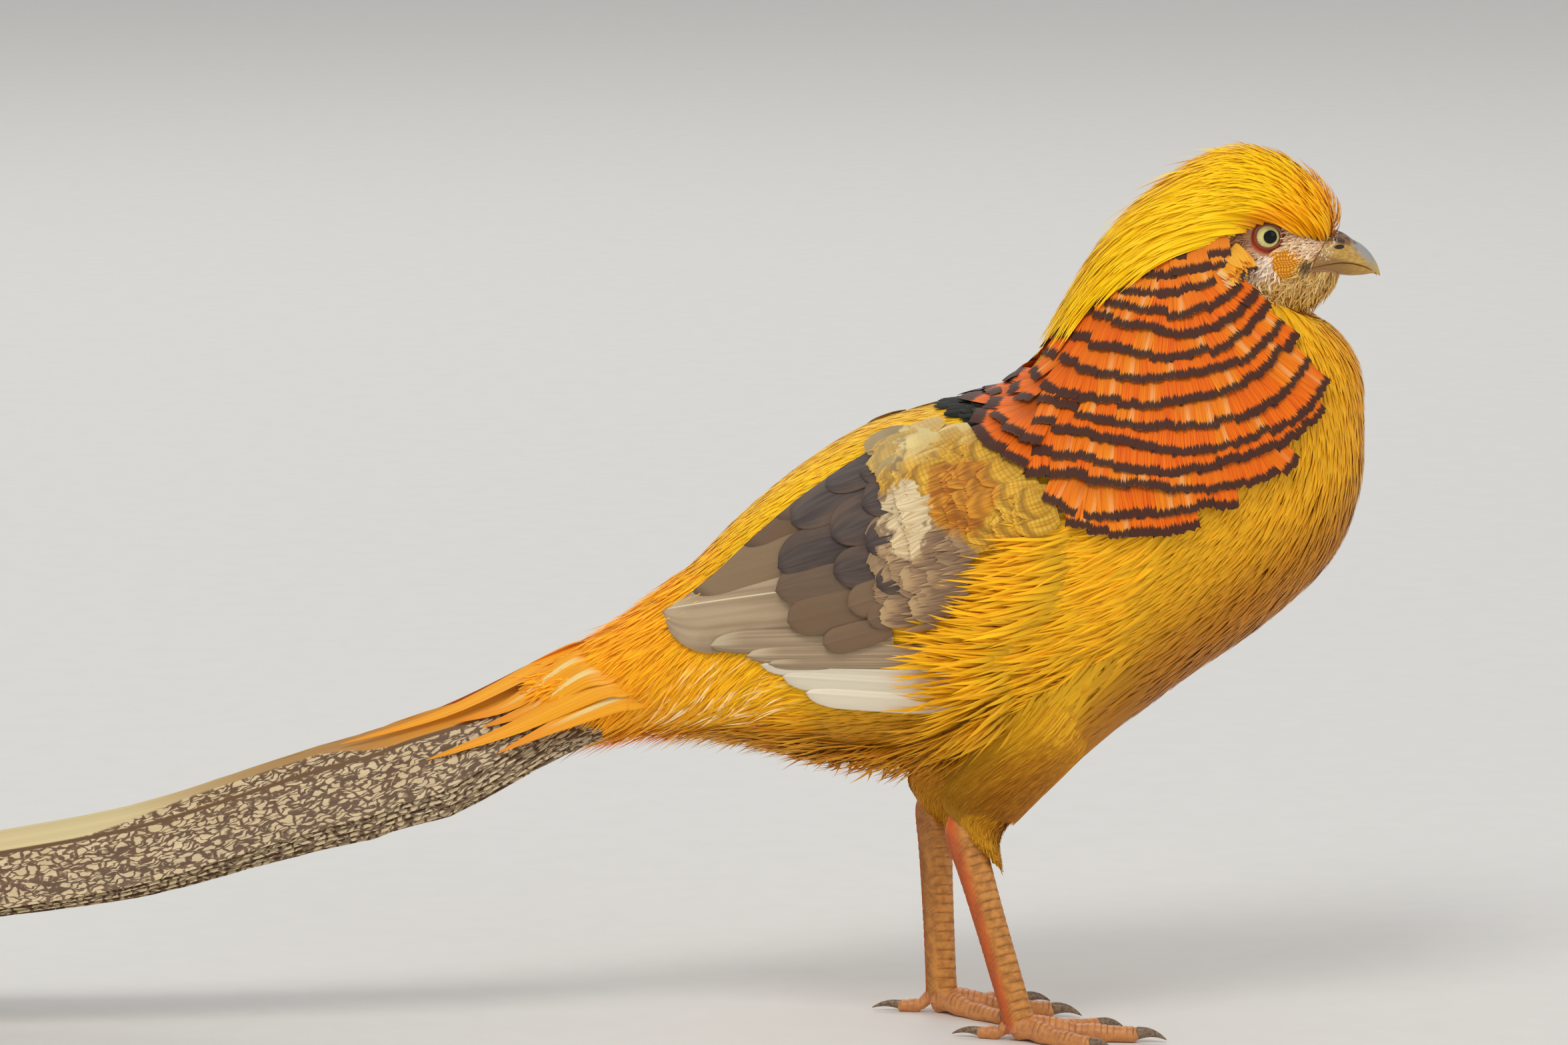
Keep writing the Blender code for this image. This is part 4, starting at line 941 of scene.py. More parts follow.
wing_mix = Finish("wing_feathers", Roughness=0.55, Specular_IOR_Level=0.25, Sheen_Weight=0.06)
streak, lengthwise, chance = barbs(wing_mix, 7.0)
fine_streak, _, _ = barbs(wing_mix, 60.0)
kind = wing_mix.attribute("kind")
crosswise = wing_mix.attribute("crosswise")
from_end = wing_mix.attribute("span") * (1.0 - lengthwise)
x, y, z = wing_mix.parts(wing_mix.attribute("root", 1))
z = z - abs(y) * math.tan(LOOK_DOWN)
cloud = wing_mix.noise(wing_mix.spot(), 0.09, 2.0)
tan = wing_mix.blend(colour(164, 138, 110), colour(188, 164, 132), streak.step(0.25, 0.75))
tan = wing_mix.blend(tan, colour(138, 112, 84), crosswise.step(0.3, 1.0) * cloud.step(0.3, 0.7) * 0.6)
tan = wing_mix.blend(tan, colour(214, 194, 158), from_end.step(14.0, 2.0) * crosswise.step(0.5, -0.4) * 0.8)
brown = wing_mix.blend(colour(148, 122, 92), colour(120, 94, 70), z.step(176.0, 196.0))
brown = wing_mix.blend(brown, colour(92, 70, 54), (from_end + abs(crosswise) * -4.0).step(7.0, -1.5) * 0.8)
slate = wing_mix.blend(colour(74, 63, 60), colour(98, 84, 76), streak.step(0.2, 0.8))
slate = wing_mix.blend(slate, colour(114, 90, 74), (abs(crosswise) + (cloud - 0.5)).step(0.35, 1.1) * 0.75)
slate = wing_mix.blend(slate, colour(66, 54, 52), from_end.step(3.6, 0.4) * 0.6)
slate = wing_mix.blend(slate, colour(136, 108, 80), z.step(180.0, 166.0) * 0.85)
tone = wing_mix.blend(colour(246, 234, 208), tan, kind.step(0.4, 0.6))
tone = wing_mix.blend(tone, brown, kind.step(1.4, 1.6))
tone = wing_mix.blend(tone, slate, kind.step(2.4, 2.6))
line = abs(crosswise) * wing_mix.attribute("wide")
shaft = (line.step(0.75, 0.25) * kind.step(1.6, 1.4) * kind.step(0.4, 0.6)
         * wing_mix.attribute("wide").step(14.0, 20.0))
tone = wing_mix.blend(tone, colour(236, 220, 180), shaft * from_end.step(66.0, 50.0) * 0.95)
rim = abs(crosswise).step(0.88, 1.0) + from_end.step(1.2, 0.3)
tone = wing_mix.dim(tone, (1.0 - rim * 0.14) * (fine_streak * 0.16 + 0.92) * (chance * 0.14 + 0.93))
wing_mix.feed(Base_Color=tone, bump=fine_streak, depth=0.0002)


def tiles(roots, tips, above, below, outline, low, high, tilt, blunt, columns=21, steps=30):
    """Grids of broad feathers that follow the side's curve, drawn in the middle plane and laid on the form."""
    f, c = np.linspace(0, 1, steps), np.linspace(-1, 1, columns)
    ahead = unit(tips - roots)
    downward = np.stack((-ahead[:, 1], ahead[:, 0]), axis=-1)
    downward = downward * np.sign(-downward[:, 1:])
    half = np.where(c[None, :] > 0, below[:, None], above[:, None])
    from_tip = (1 - f) * np.linalg.norm(tips - roots, axis=-1)[:, None] / (blunt * (above + below))[:, None]
    from_tip = np.minimum(from_tip, 1.0)
    wide = (np.interp(f, np.linspace(0, 1, len(outline)), outline)
            * np.sqrt(np.maximum(from_tip * (2 - from_tip), 0.002)))
    reach = half[:, None, :] * wide[..., None] * c
    spine = roots[:, None, :] + (tips - roots)[:, None, :] * f[:, None]
    t, turn = seen(spine[:, :, None, :] + downward[:, None, None, :] * reach[..., None])
    turn = np.maximum(turn, WING_TOP)
    arch = 0.5 * (1 - c * c) - 0.35 * np.abs(c) ** 4
    ridge = np.maximum(0.0, 1 - np.abs(reach) * 1.2) * 0.3
    lift = low + (np.asarray(high)[:, None, None] - low) * f[:, None] + arch - tilt * reach + ridge
    return on_body(t, turn, lift * np.interp(turn, (WING_TOP, 52.0), (0.12, 1.0)))


WING_TOP = 26.0
FLIGHT_END = (0.6, 0.8, 0.94, 1.0, 1.0, 1.0, 1.0, 0.99, 0.96, 0.92)
ROUND_END = (0.7, 0.85, 0.95, 1.0, 1.0, 1.0, 0.99, 0.97, 0.94)
tiers = []
for kind_number, low, high, tilt, members in WING_TIERS:
    roots, tips = (np.array([row[k] for row in members], float) for k in (0, 1))
    above, below = (np.array([row[k] for row in members], float) for k in (2, 3))
    step = np.arange(len(members)) * 0.22
    blunt = np.where(above + below > 20.0, 0.6, 1.7) if kind_number < 2 else 0.62
    outline = FLIGHT_END if kind_number < 2 else ROUND_END
    grid = tiles(roots, tips, above, below, outline, low, high + step, tilt, blunt)
    numbers = (np.full(len(members), float(kind_number)), np.linalg.norm(tips - roots, axis=-1), above
               + below)
    tiers.append((grid, grid[:, 0, 10], *numbers))
for word, turned in (("right", lambda p: p), ("left", mirrored)):
    counts = [len(tier[2]) for tier in tiers]
    corner, cell = packed(sum(counts))
    cuts = np.cumsum([0] + counts)
    homes = [(corner[a:b], cell[a:b]) for a, b in zip(cuts, cuts[1:])]
    feathers("wing_" + word + "_feathers", [turned(tier[0]) for tier in tiers],
             [turned(tier[1]) for tier in tiers],
             homes, wing_mix.material, [wing_luck.uniform(0, 1, n) for n in counts],
             {"kind": [tier[2] for tier in tiers], "span": [tier[3] for tier in tiers],
              "wide": [tier[4] for tier in tiers]}, ("wing_" + word,))

# Scapulars and lesser coverts. Small loose feathers over the shoulder: olive yellow with darker scaled edges,
# an orange-brown band through them, and soft buff and grey-brown ones where they meet the slate coverts.
SHOULDER = [(-27.0, 226.0), (-19.6, 228.5), (-7.1, 230.9), (1.5, 227.0), (12.0, 221.0), (30.0, 208.0),
            (30.0, 196.0), (15.8, 190.0), (5.4, 186.0), (0.2, 178.0), (-6.0, 166.0), (-12.0, 156.0),
            (-19.0, 153.0),
            (-24.0, 160.0), (-24.0, 172.0), (-23.0, 182.0), (-22.5, 192.0), (-23.0, 204.0), (-23.5, 215.0)]


def inside(corners, x, z):
    """Whether places of the middle plane lie inside an outline."""
    result = np.zeros(len(x), bool)
    for (x0, z0), (x1, z1) in zip(corners, corners[1:] + corners[:1]):
        crosses = (z0 > z) != (z1 > z)
        result ^= crosses & (x < (x1 - x0) * (z - z0) / (z1 - z0 + 1e-9) + x0)
    return result


shoulder_luck = np.random.default_rng(61)
shoulder_mix = Finish("shoulder_feathers", Roughness=0.6, Specular_IOR_Level=0.25, Sheen_Weight=0.15)
streak, lengthwise, chance = barbs(shoulder_mix, 9.0)
fine_streak, _, _ = barbs(shoulder_mix, 30.0)
crosswise = shoulder_mix.attribute("crosswise")
spot = shoulder_mix.spot()
x, y, z = shoulder_mix.parts(spot)
z = z - abs(y) * math.tan(LOOK_DOWN) + (shoulder_mix.noise(spot, 0.16, 2.0) - 0.5) * 9.0
edge = (lengthwise + crosswise * crosswise * 0.22 + (streak - 0.5) * 0.12).band(0.72, 0.9, 0.08)
olive = shoulder_mix.blend(colour(214, 148, 26), colour(246, 196, 70), streak.step(0.25, 0.75))
bars = shoulder_mix.node("ShaderNodeMath", {"operation": "SINE"},
                         {0: lengthwise * 64.0 + crosswise * crosswise * 4.0 + chance * 6.0})
olive = shoulder_mix.blend(olive, colour(176, 122, 30), bars.step(0.1, 0.9) * 0.4)
olive = shoulder_mix.blend(olive, colour(132, 90, 26), edge * 0.65)
rust = shoulder_mix.blend(colour(176, 94, 10), colour(222, 150, 40), (streak + chance * 0.3).step(0.35, 0.9))
rust = shoulder_mix.blend(rust, colour(120, 70, 20), edge * 0.45)
buff = shoulder_mix.blend(colour(208, 178, 130), colour(236, 214, 170), streak.step(0.3, 0.7))
grey = shoulder_mix.blend(colour(132, 102, 78), colour(172, 138, 104), streak.step(0.3, 0.7))
grey = shoulder_mix.blend(grey, colour(196, 162, 116), lengthwise.step(0.62, 0.95) * chance.step(0.1, 0.7)
                          * 0.85)
tone = shoulder_mix.blend(olive, colour(238, 216, 150), (z - x * 0.5).step(222.0, 236.0)
                          * (chance.step(0.3, 0.7) * 0.5 + 0.35))
wander = x + (shoulder_mix.noise(spot, 0.12, 2.0) - 0.5) * 12.0
band = 1.0 - (wander + 8.0) * (wander + 8.0) / 210.0 - (z - 201.0) * (z - 201.0) / 250.0
tone = shoulder_mix.blend(tone, rust, band.step(0.0, 0.4) * 0.95)
tone = shoulder_mix.blend(tone, grey, (x * 0.62 + z).step(184.0, 178.0))
uneven = x + (shoulder_mix.noise(spot, 0.3, 1.0) - 0.5) * 14.0
patch = 1.0 - (uneven + 28.0) * (uneven + 28.0) / 90.0 - (z - 194.0) * (z - 194.0) / 260.0
tone = shoulder_mix.blend(tone, buff, patch.step(0.0, 0.35))
tone = shoulder_mix.blend(tone, colour(120, 96, 74), (uneven - (z - 190.0) * 0.15).step(-33.0, -37.0)
                          * chance * 0.8)
# Painted shade: each shoulder feather is darker towards its root, where its neighbours overlap it; fine streaks
# and random tone vary it too.
light = (fine_streak * 0.3 + 0.85) * (lengthwise.step(0.3, 0.7) * 0.2 + 0.82) * (chance * 0.16 + 0.92)
shoulder_mix.feed(Base_Color=shoulder_mix.dim(tone, light), bump=fine_streak, depth=0.0001)
# Layers: name, pitch, spacing, width, length, heights of root and tip.
for name, pitch, spacing, width, length, low, high in (("shoulder", 6.4, 7.6, 13.0, 18.0, 4.4, 6.7),
                                                       ("shoulder_loose", 3.6, 2.6, 2.2, 14.0, 4.6, 6.9)):
    t, turn = scattered(8.4, 14.0, pitch, spacing, shoulder_luck, 14.0, 120.0)
    here = as_seen(on_body(t, turn))
    kept = inside(SHOULDER, here[:, 0], here[:, 1])
    if name == "shoulder_loose":
        kept &= shoulder_luck.uniform(0, 1, len(t)) < np.interp(here[:, 1], (180.0, 200.0), (0.6, 0.06))
    t, turn = t[kept], turn[kept]
    size = len(t)
    over_wing = np.interp(here[kept, 0], (-8.0, 2.0), (0.0, 1.4))
    top = (high - over_wing + shoulder_luck.uniform(-0.2, 0.3, size)) * np.interp(turn, BACK_EASE, (0.4, 1.0))
    lines, outs = trails(t, turn, length * shoulder_luck.uniform(0.8, 1.15, size), low - over_wing, top, 8,
                         sway=shoulder_luck.uniform(-0.14, 0.14, size) - 0.22)
    outline = (0.6, 0.95, 1.0, 1.0, 0.9, 0.45) if name == "shoulder" else (0.8, 1.0, 0.8, 0.5, 0.1)
    for word, turned in (("right", lambda p: p), ("left", mirrored)):
        grid = turned(blades(lines, outs, width * shoulder_luck.uniform(0.8, 1.2, size), outline,
                             15 if name == "shoulder" else 4, 0.12, shoulder_luck.uniform(-0.08, 0.08, size),
                             0.8 if name == "shoulder" else 1.2, shoulder_luck))
        feathers(name + "_" + word + "_feathers", [grid], [turned(lines[:, 0])], [patches(t, turn, 0.003)],
                 shoulder_mix.material, [shoulder_luck.uniform(0, 1, size)])

# Crest. Long silky hair-like feathers rise from the forehead, arch over the crown and hang down the nape over
# the ruff, in deep golden yellow; the outermost ones part into points along the back of the crown.
CREST_LIE = [((135, 303), 78), ((132, 309), 100), ((125, 319), 128), ((110, 330), 155), ((95, 334), 176),
             ((78, 330), 192), ((62, 320), 208), ((48, 306), 219), ((38, 290), 231), ((29, 268), 244),
             ((118, 308), 146), ((106, 311), 166), ((90, 307), 188), ((75, 302), 200), ((60, 293), 213),
             ((50, 283), 221), ((98, 322), 175), ((76, 317), 196), ((125, 300), 128), ((113, 304), 156)]
CREST_EDGE = ([24.0, 31.2, 38.5, 48.0, 57.2, 65.2, 73.2, 85.0, 92.0, 97.5, 102.5, 107.5, 112.5, 115.5, 122.5,
               128.3,
               132.0, 134.0],
              [256.0, 261.0, 271.2, 279.8, 288.4, 291.4, 294.8, 295.6, 297.2, 300.6, 302.8, 304.4, 303.4,
               300.8, 298.6,
               297.0, 299.0, 301.5])
CREST_TOP = ([0.0, 0.45, 1.1, 1.6, 2.15, 2.55, 2.8, 3.5, 4.0, 4.6, 5.3, 6.1, 6.7, 7.3],
             [8.0, 11.0, 12.6, 12.8, 13.0, 12.5, 12.2, 11.3, 10.8, 9.6, 8.3, 7.5, 6.6, 4.6])
crest_lie = flow(CREST_LIE, 13.0)


def above_crest_edge(places, margin):
    """Which places lie above the lower edge of the crest, as seen from the side."""
    height = places[:, 2] - np.abs(places[:, 1]) * math.tan(LOOK_DOWN)
    return height > np.interp(places[:, 0], *CREST_EDGE) + margin


def crest_height(share, bare=0.0):
    """Function that gives the height of one layer of the crest over the form."""
    def height(t, turn):
        side = np.abs((turn + 180.0) % 360.0 - 180.0)
        return np.interp(t, *CREST_TOP) * share * (1.0 - 0.45 * np.clip(side / 78.0, 0.0, 1.0) ** 2) + bare
    return height


crest_mix = Finish("crest_feathers", Roughness=0.5, Specular_IOR_Level=0.22, Sheen_Weight=0.1,
                   Sheen_Roughness=0.35)
streak, lengthwise, chance = barbs(crest_mix, 2.0)
spot = crest_mix.spot()
x, y, z = crest_mix.parts(spot)
tone = crest_mix.blend(colour(255, 200, 0), colour(255, 216, 0), streak)
brow = 1.0 - ((x - 112.0) * (x - 112.0) / 420.0 + (z - 305.0) * (z - 305.0) / 150.0)
tone = crest_mix.blend(tone, colour(255, 156, 0), brow.step(0.0, 0.9) * 0.85)
tone = crest_mix.blend(tone, colour(255, 184, 0), x.step(100.0, 122.0) * z.step(330.0, 318.0) * 0.8)
# Painted highlight: random strands at the back of the crest are paler.
tone = crest_mix.blend(tone, colour(255, 222, 40), chance.step(0.8, 0.95) * x.step(96.0, 70.0) * 0.6)
tone = crest_mix.blend(tone, colour(206, 128, 16), x.step(127.0, 134.0) * z.step(318.0, 308.0) * chance * 0.5)
# Painted light: the crest strands are brighter away from their roots, with random tone.
light = (lengthwise.step(0.0, 0.5) * 0.1 + 1.0) * (chance * 0.08 + 0.98)
crest_mix.feed(Base_Color=crest_mix.dim(tone, light), bump=streak, depth=0.0002)

crest_luck = np.random.default_rng(71)
# Layers: name, pitch, spacing, width, length, share of the height, columns.
CREST_LAYERS = [("crest_under", 3.0, 2.4, 4.6, 26.0, 0.72, 3), ("crest_middle", 2.6, 1.6, 2.4, 32.0, 0.9, 2),
                ("crest_outer", 2.2, 1.1, 1.35, 36.0, 1.0, 2)]
for name, pitch, spacing, width, length, share, columns in CREST_LAYERS:
    t, turn = scattered(0.04, 6.2, pitch, spacing, crest_luck, -118.0, 118.0)
    here = on_body(t, turn)
    kept = above_crest_edge(here, 0.8 if name == "crest_under" else 0.3)
    t, turn, here = t[kept], turn[kept], here[kept]
    size = len(t)
    reach = (length * crest_luck.uniform(0.72, 1.2, size)
             * np.interp(t, (0.0, 0.8, 1.8, 3.0, 6.2), (0.3, 0.45, 0.66, 0.9, 1.0)))
    lines, outs = trails(t, turn, reach, 0.3, crest_height(share), 8, way=crest_lie, ease=0.45,
                         sway=crest_luck.uniform(-0.10, 0.10, size))
    wave = crest_luck.normal(0, 0.12, size)[:, None] * np.sin(np.linspace(0, math.pi, 9))
    points = 3.2 * (crest_luck.uniform(0, 1, size) > 0.92) * (t > 1.8) * (t < 4.6) * (share == 1.0)
    lift = (crest_luck.uniform(-0.5, 0.3, size) + points)[:, None] * np.linspace(0, 1, 9) ** 2
    lines = lines + outs * (wave + lift)[..., None]
    grid = blades(lines, outs, width * crest_luck.uniform(0.7, 1.2, size),
                  (0.6, 0.95, 1.0, 0.95, 0.8, 0.5, 0.06),
                  columns, 0.0, crest_luck.uniform(-0.25, 0.25, size))
    feathers(name, [grid], [lines[:, 0]], [patches(t, turn)], crest_mix.material,
             [crest_luck.uniform(0, 1, size)], None, ("crest",) if name == "crest_under" else ())

# Forehead. Shorter feathers stand up from the base of the bill and bend back over the front of the crown, the
# foremost ones nearly upright.
t, turn = scattered(0.03, 3.0, 1.1, 0.85, crest_luck, -80.0, 80.0)
kept = above_crest_edge(on_body(t, turn), 0.4)
t, turn = t[kept], turn[kept]
size = len(t)
f = np.linspace(0, 1, 9)
back = np.interp(t, (0.0, 0.6, 1.4, 3.0), (0.35, 0.75, 1.1, 1.3)) * crest_luck.uniform(0.6, 1.15, size)
place = t[:, None] + back[:, None] * f ** 1.7
across = turn[:, None] * (1.0 - 0.18 * f)
tall = crest_height(1.0)(place, across) * crest_luck.uniform(0.72, 1.0, size)[:, None]
lines = on_body(place, across, 0.2 + tall * np.sin(f * 1.5))
forward = np.interp(t, (0.0, 0.5, 1.0, 1.6, 2.4), (6.0, 4.6, 3.4, 1.6, 0.0)) * (1 - 0.6 * np.abs(turn) / 80.0)
lines[..., 0] += forward[:, None] * f * (2.0 - f)
lines[..., 1] += crest_luck.normal(0, 0.35, size)[:, None] * f ** 2
outs = slopes(place, across, 0.0)[2] * (1.0, 1.0, 0.6) + np.array((0.9, 0.0, 0.0)) * (1 - f)[:, None]
grid = blades(lines, unit(outs), crest_luck.uniform(1.0, 1.7, size), (0.7, 1.0, 1.0, 0.9, 0.75, 0.5, 0.08),
              2, 0.0,
              crest_luck.uniform(-0.3, 0.3, size))
feathers("forehead_feathers", [grid], [lines[:, 0]], [patches(t, turn)], crest_mix.material,
         [crest_luck.uniform(0, 1, size)])

# Naked skin round the eyes. A ring of red-brown skin, finely wrinkled, with a raised lid margin that lies
# close on the eyeball; outwards it fades into the pinkish brown skin of the face.
GLASS = (106.9, 9.2, 301.5)
EYE_BALL = 6.4
LID_OPENING = (4.75, 4.15)
ORBIT_REACH = 10.2
ORBIT_STEPS = 30
ORBIT_TURNS = 96


def by_sides(points, faces, name, finish, slot, replaces=()):
    """The same mesh piece on the right side and, mirrored, on the left."""
    made = []
    for word, turned in (("right", lambda p: p), ("left", mirrored)):
        these = faces if word == "right" else [tuple(reversed(face)) for face in faces]
        stands = [node + "_" + word for node in replaces]
        made.append(piece(name + "_" + word, metres(turned(points)), these, finish, slot, stands))
    return made


def smooth_step(low, high, value):
    """Share from 0 at low to 1 at high, with soft ends."""
    f = np.clip((value - low) / (high - low), 0.0, 1.0)
    return f * f * (3 - 2 * f)


eye_centre = np.array((GLASS[0], -GLASS[1], GLASS[2]))
eye_seen = np.array((GLASS[0], GLASS[2] - (GLASS[1] + 5.5) * math.tan(LOOK_DOWN)))
f, a = np.meshgrid(np.linspace(0, 1, ORBIT_STEPS), np.linspace(0, 2 * math.pi, ORBIT_TURNS, endpoint=False),
                   indexing="ij")
rays = np.stack((np.cos(a), np.sin(a)), axis=-1)
inner = rays * LID_OPENING * (1 - 0.10 * np.clip(-np.cos(a), 0, 1) ** 6)[..., None]
reach = inner + (rays * ORBIT_REACH - inner) * f[..., None]
far = np.linalg.norm(reach, axis=-1)
lid = far - np.linalg.norm(inner, axis=-1)
t, turn = seen(eye_seen + reach)
flat = on_body(t, turn, -coat_depth(t) + 0.12 - 0.5 * smooth_step(0.85, 1.0, f))
ball = np.sqrt(np.maximum((EYE_BALL + 0.15) ** 2 - far ** 2, 4.0))
near = eye_centre + np.stack((reach[..., 0], -ball, reach[..., 1]), axis=-1)
share = smooth_step(5.0, 8.6, far)
rim = 0.7 * np.exp(-((lid - 0.6) / 0.5) ** 2)
fold = 0.16 * np.sin(lid * 3.4 + 0.4 * np.sin(a * 3)) * smooth_step(1.2, 2.4, far - 4)
points = near * (1 - share)[..., None] + flat * share[..., None]
points[..., 1] -= rim + fold * (1 - share * 0.6)
points = points.reshape(-1, 3)
orbit_mix = Finish("orbit_skin", Roughness=0.5, Specular_IOR_Level=0.4, Subsurface_Weight=0.15,
                   Subsurface_Scale=0.0015)
spot = orbit_mix.spot()
x, y, z = orbit_mix.parts(spot)
far = ((x - GLASS[0]) * (x - GLASS[0]) + (z - GLASS[2]) * (z - GLASS[2])) ** 0.5
wrinkle = orbit_mix.noise(spot, 1.1, 3.0)
pores = orbit_mix.noise(spot, 3.2, 2.0)
tone = orbit_mix.blend(colour(214, 156, 116), colour(196, 132, 96), wrinkle.step(0.3, 0.7))
red = (GLASS[2] + 1.0 - z).step(-3.0, 3.0) * 0.7 + (GLASS[0] + 1.0 - x).step(-3.0, 3.0) * 0.6
red = red * (far + wrinkle * 2.4).step(8.6, 6.2)
tone = orbit_mix.blend(tone, colour(196, 84, 52), red)
tone = orbit_mix.blend(tone, colour(222, 178, 142), (far + wrinkle * 2.0).step(7.4, 9.6))
tone = orbit_mix.blend(tone, colour(200, 156, 120), (z - GLASS[2]).step(-3.5, -8.0) * far.step(6.0, 9.0))
# Painted shade: the skin above the eye is darkened where the brow and crest shade it.
tone = orbit_mix.blend(tone, colour(150, 84, 44), (z - GLASS[2]).step(3.6, 6.0) * 0.7)
tone = orbit_mix.blend(tone, colour(112, 58, 42), far.step(5.0, 4.5) * 0.8)
orbit_mix.feed(Base_Color=orbit_mix.dim(tone, pores * 0.4 + 0.84), bump=wrinkle * 0.7 + pores * 0.3,
               depth=0.00025)
by_sides(points, grid_faces(ORBIT_STEPS, ORBIT_TURNS, True).tolist(), "orbit", orbit_mix.material,
         "face_down")

# Eyes. Glass eyes with a pale greenish yellow iris, a dark rim and a round black pupil set a little forward,
# under a clear polished bulge.
PUPIL = 2.5
PUPIL_FORWARD = 0.85
look = unit(np.array((0.10, -1.0, 0.02)))
side_axis = unit(np.cross((0.0, 0.0, 1.0), look))
up_axis = np.cross(look, side_axis)
rings = []
for n in range(49):
    a = math.pi * (n + 0.02) / 48.04
    radius = EYE_BALL + 0.42 * max(0.0, math.cos(a * 1.7)) ** 2 * (a < 0.92)
    turn = np.linspace(0, 2 * math.pi, 64, endpoint=False)
    spread = side_axis * np.cos(turn)[:, None] + up_axis * np.sin(turn)[:, None]
    rings.append(eye_centre + radius * (look * math.cos(a) + spread * math.sin(a)))
eye_rings = np.array(rings)
eye_mix = Finish("glass_eye", Roughness=0.4, Specular_IOR_Level=0.04, Coat_Weight=0.4, Coat_Roughness=0.02)
spot = eye_mix.spot()
x, y, z = eye_mix.parts(spot)
across, upward = x - GLASS[0], z - GLASS[2]
pupil_far = ((across - PUPIL_FORWARD) * (across - PUPIL_FORWARD) + upward * upward) ** 0.5
far = ((x - GLASS[0]) * (x - GLASS[0]) + (z - GLASS[2]) * (z - GLASS[2])) ** 0.5
angle = eye_mix.node("ShaderNodeMath", {"operation": "ARCTAN2"}, {0: upward, 1: across})
rays = eye_mix.noise(eye_mix.node("ShaderNodeCombineXYZ", {}, {0: angle * 7.0, 1: far * 0.5, 2: 3.0}), 1.0,
                     2.0)
tone = eye_mix.blend(colour(255, 248, 176), colour(236, 226, 132), rays.step(0.35, 0.7))
tone = eye_mix.blend(tone, colour(178, 168, 84), pupil_far.step(PUPIL + 0.75, PUPIL + 0.1) * 0.6)
tone = eye_mix.blend(tone, colour(104, 84, 40), (far + rays * 0.3).step(3.9, 4.7))
tone = eye_mix.blend(tone, colour(8, 9, 10), pupil_far.step(PUPIL + 0.12, PUPIL - 0.08))
eye_mix.feed(Base_Color=tone)
for word, turned in (("right", lambda p: p), ("left", mirrored)):
    eye = closed_tube("eyeball_" + word, turned(eye_rings), eye_mix.material)
    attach(eye, "root")
    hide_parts("eye_" + word)
    eye.data.shade_smooth()

# Bill. Two horny halves with a closed gape: a downcurved upper half with a soft brown flap over each nostril,
# olive-yellow on its sides with a painted pale grey highlight along its ridge, and a thin straight lower half.
CULMEN = np.array([(131.0, 303.2), (135.5, 301.6), (139.5, 298.9), (142.6, 297.2), (145.6, 294.4),
                   (148.2, 290.5),
                   (149.4, 287.4), (149.8, 285.6)])
CUTTING_EDGE = np.array([(123.6, 289.7), (129.4, 290.7), (135.0, 291.1), (139.6, 290.5), (143.4, 289.3),
                         (146.8, 287.6), (148.6, 286.0), (149.7, 285.4)])
LOWER_EDGE = np.array([(124.5, 286.6), (129.5, 286.2), (134.0, 285.8), (138.5, 285.5), (142.0, 285.6),
                       (145.0, 286.0),
                       (147.0, 286.5), (148.0, 286.7)])
BILL_HALF = np.array([12.6, 10.1, 7.3, 5.2, 3.6, 2.0, 1.0, 0.25])
NOSTRIL = (134.0, 296.9)


def bill_points(top, flat, half, rows, ring):
    """Rings of a half of the bill between its rounded outer curve and its flat edge."""
    s = np.linspace(0, len(half) - 1, rows)
    outer, inner, wide = along(top, s), along(flat, s), along(half, s)
    a = np.linspace(0, math.pi, ring)
    rise = np.sin(a) ** 0.85
    spine = inner[:, None, :] + (outer - inner)[:, None, :] * rise[None, :, None]
    power = np.interp(s, (0.0, 3.0), (1.5, 0.8))[:, None]
    y = wide[:, None] * np.sign(np.cos(a)) * np.abs(np.cos(a)) ** power
    return np.stack((spine[..., 0], y, spine[..., 1]), axis=-1)


upper = bill_points(CULMEN, CUTTING_EDGE, BILL_HALF, 90, 61)
side = np.sign(upper[..., 1])
gap_x, gap_z = upper[..., 0] - NOSTRIL[0], upper[..., 2] - NOSTRIL[1]
flap = 1.15 * np.exp(-(gap_x / 3.4) ** 2 - ((gap_z - 2.7) / 1.5) ** 2)
slit = -1.3 * np.exp(-(gap_x / 2.3) ** 4 - ((gap_z + 0.1 - gap_x * 0.12) / 0.75) ** 2)
lip = 0.35 * np.exp(-((upper[..., 2] - np.interp(upper[..., 0], CUTTING_EDGE[:, 0], CUTTING_EDGE[:, 1])
                       - 0.7) / 0.6) ** 2)
upper[..., 1] += side * (flap + slit + lip * np.clip((upper[..., 0] - 126) / 6, 0, 1))
lower = bill_points(LOWER_EDGE, CUTTING_EDGE + (0.0, -0.35), BILL_HALF * 0.9, 80, 41)
lower[..., 0] = np.minimum(lower[..., 0], 148.4)

bill_mix = Finish("bill_horn", Roughness=0.36, Specular_IOR_Level=0.5, Coat_Weight=0.15, Coat_Roughness=0.3,
                  Subsurface_Weight=0.1, Subsurface_Scale=0.001)
spot = bill_mix.spot()
x, y, z = bill_mix.parts(spot)
grain = bill_mix.noise(spot, 0.9, 3.0, (0.5, 1.0, 1.8))
blotch = bill_mix.noise(spot, 0.35, 2.0)
tone = bill_mix.blend(colour(182, 138, 52), colour(208, 164, 78), grain.step(0.3, 0.7))
tone = bill_mix.blend(tone, colour(150, 104, 46), (z - 290.6 + (x - 136.0) * 0.32).step(2.6, 0.2)
                      * x.step(146.0, 132.0) * 0.8)
ridge = (z + (x - 139.0) * 0.95).step(294.5, 299.0) * x.step(137.6, 140.2)
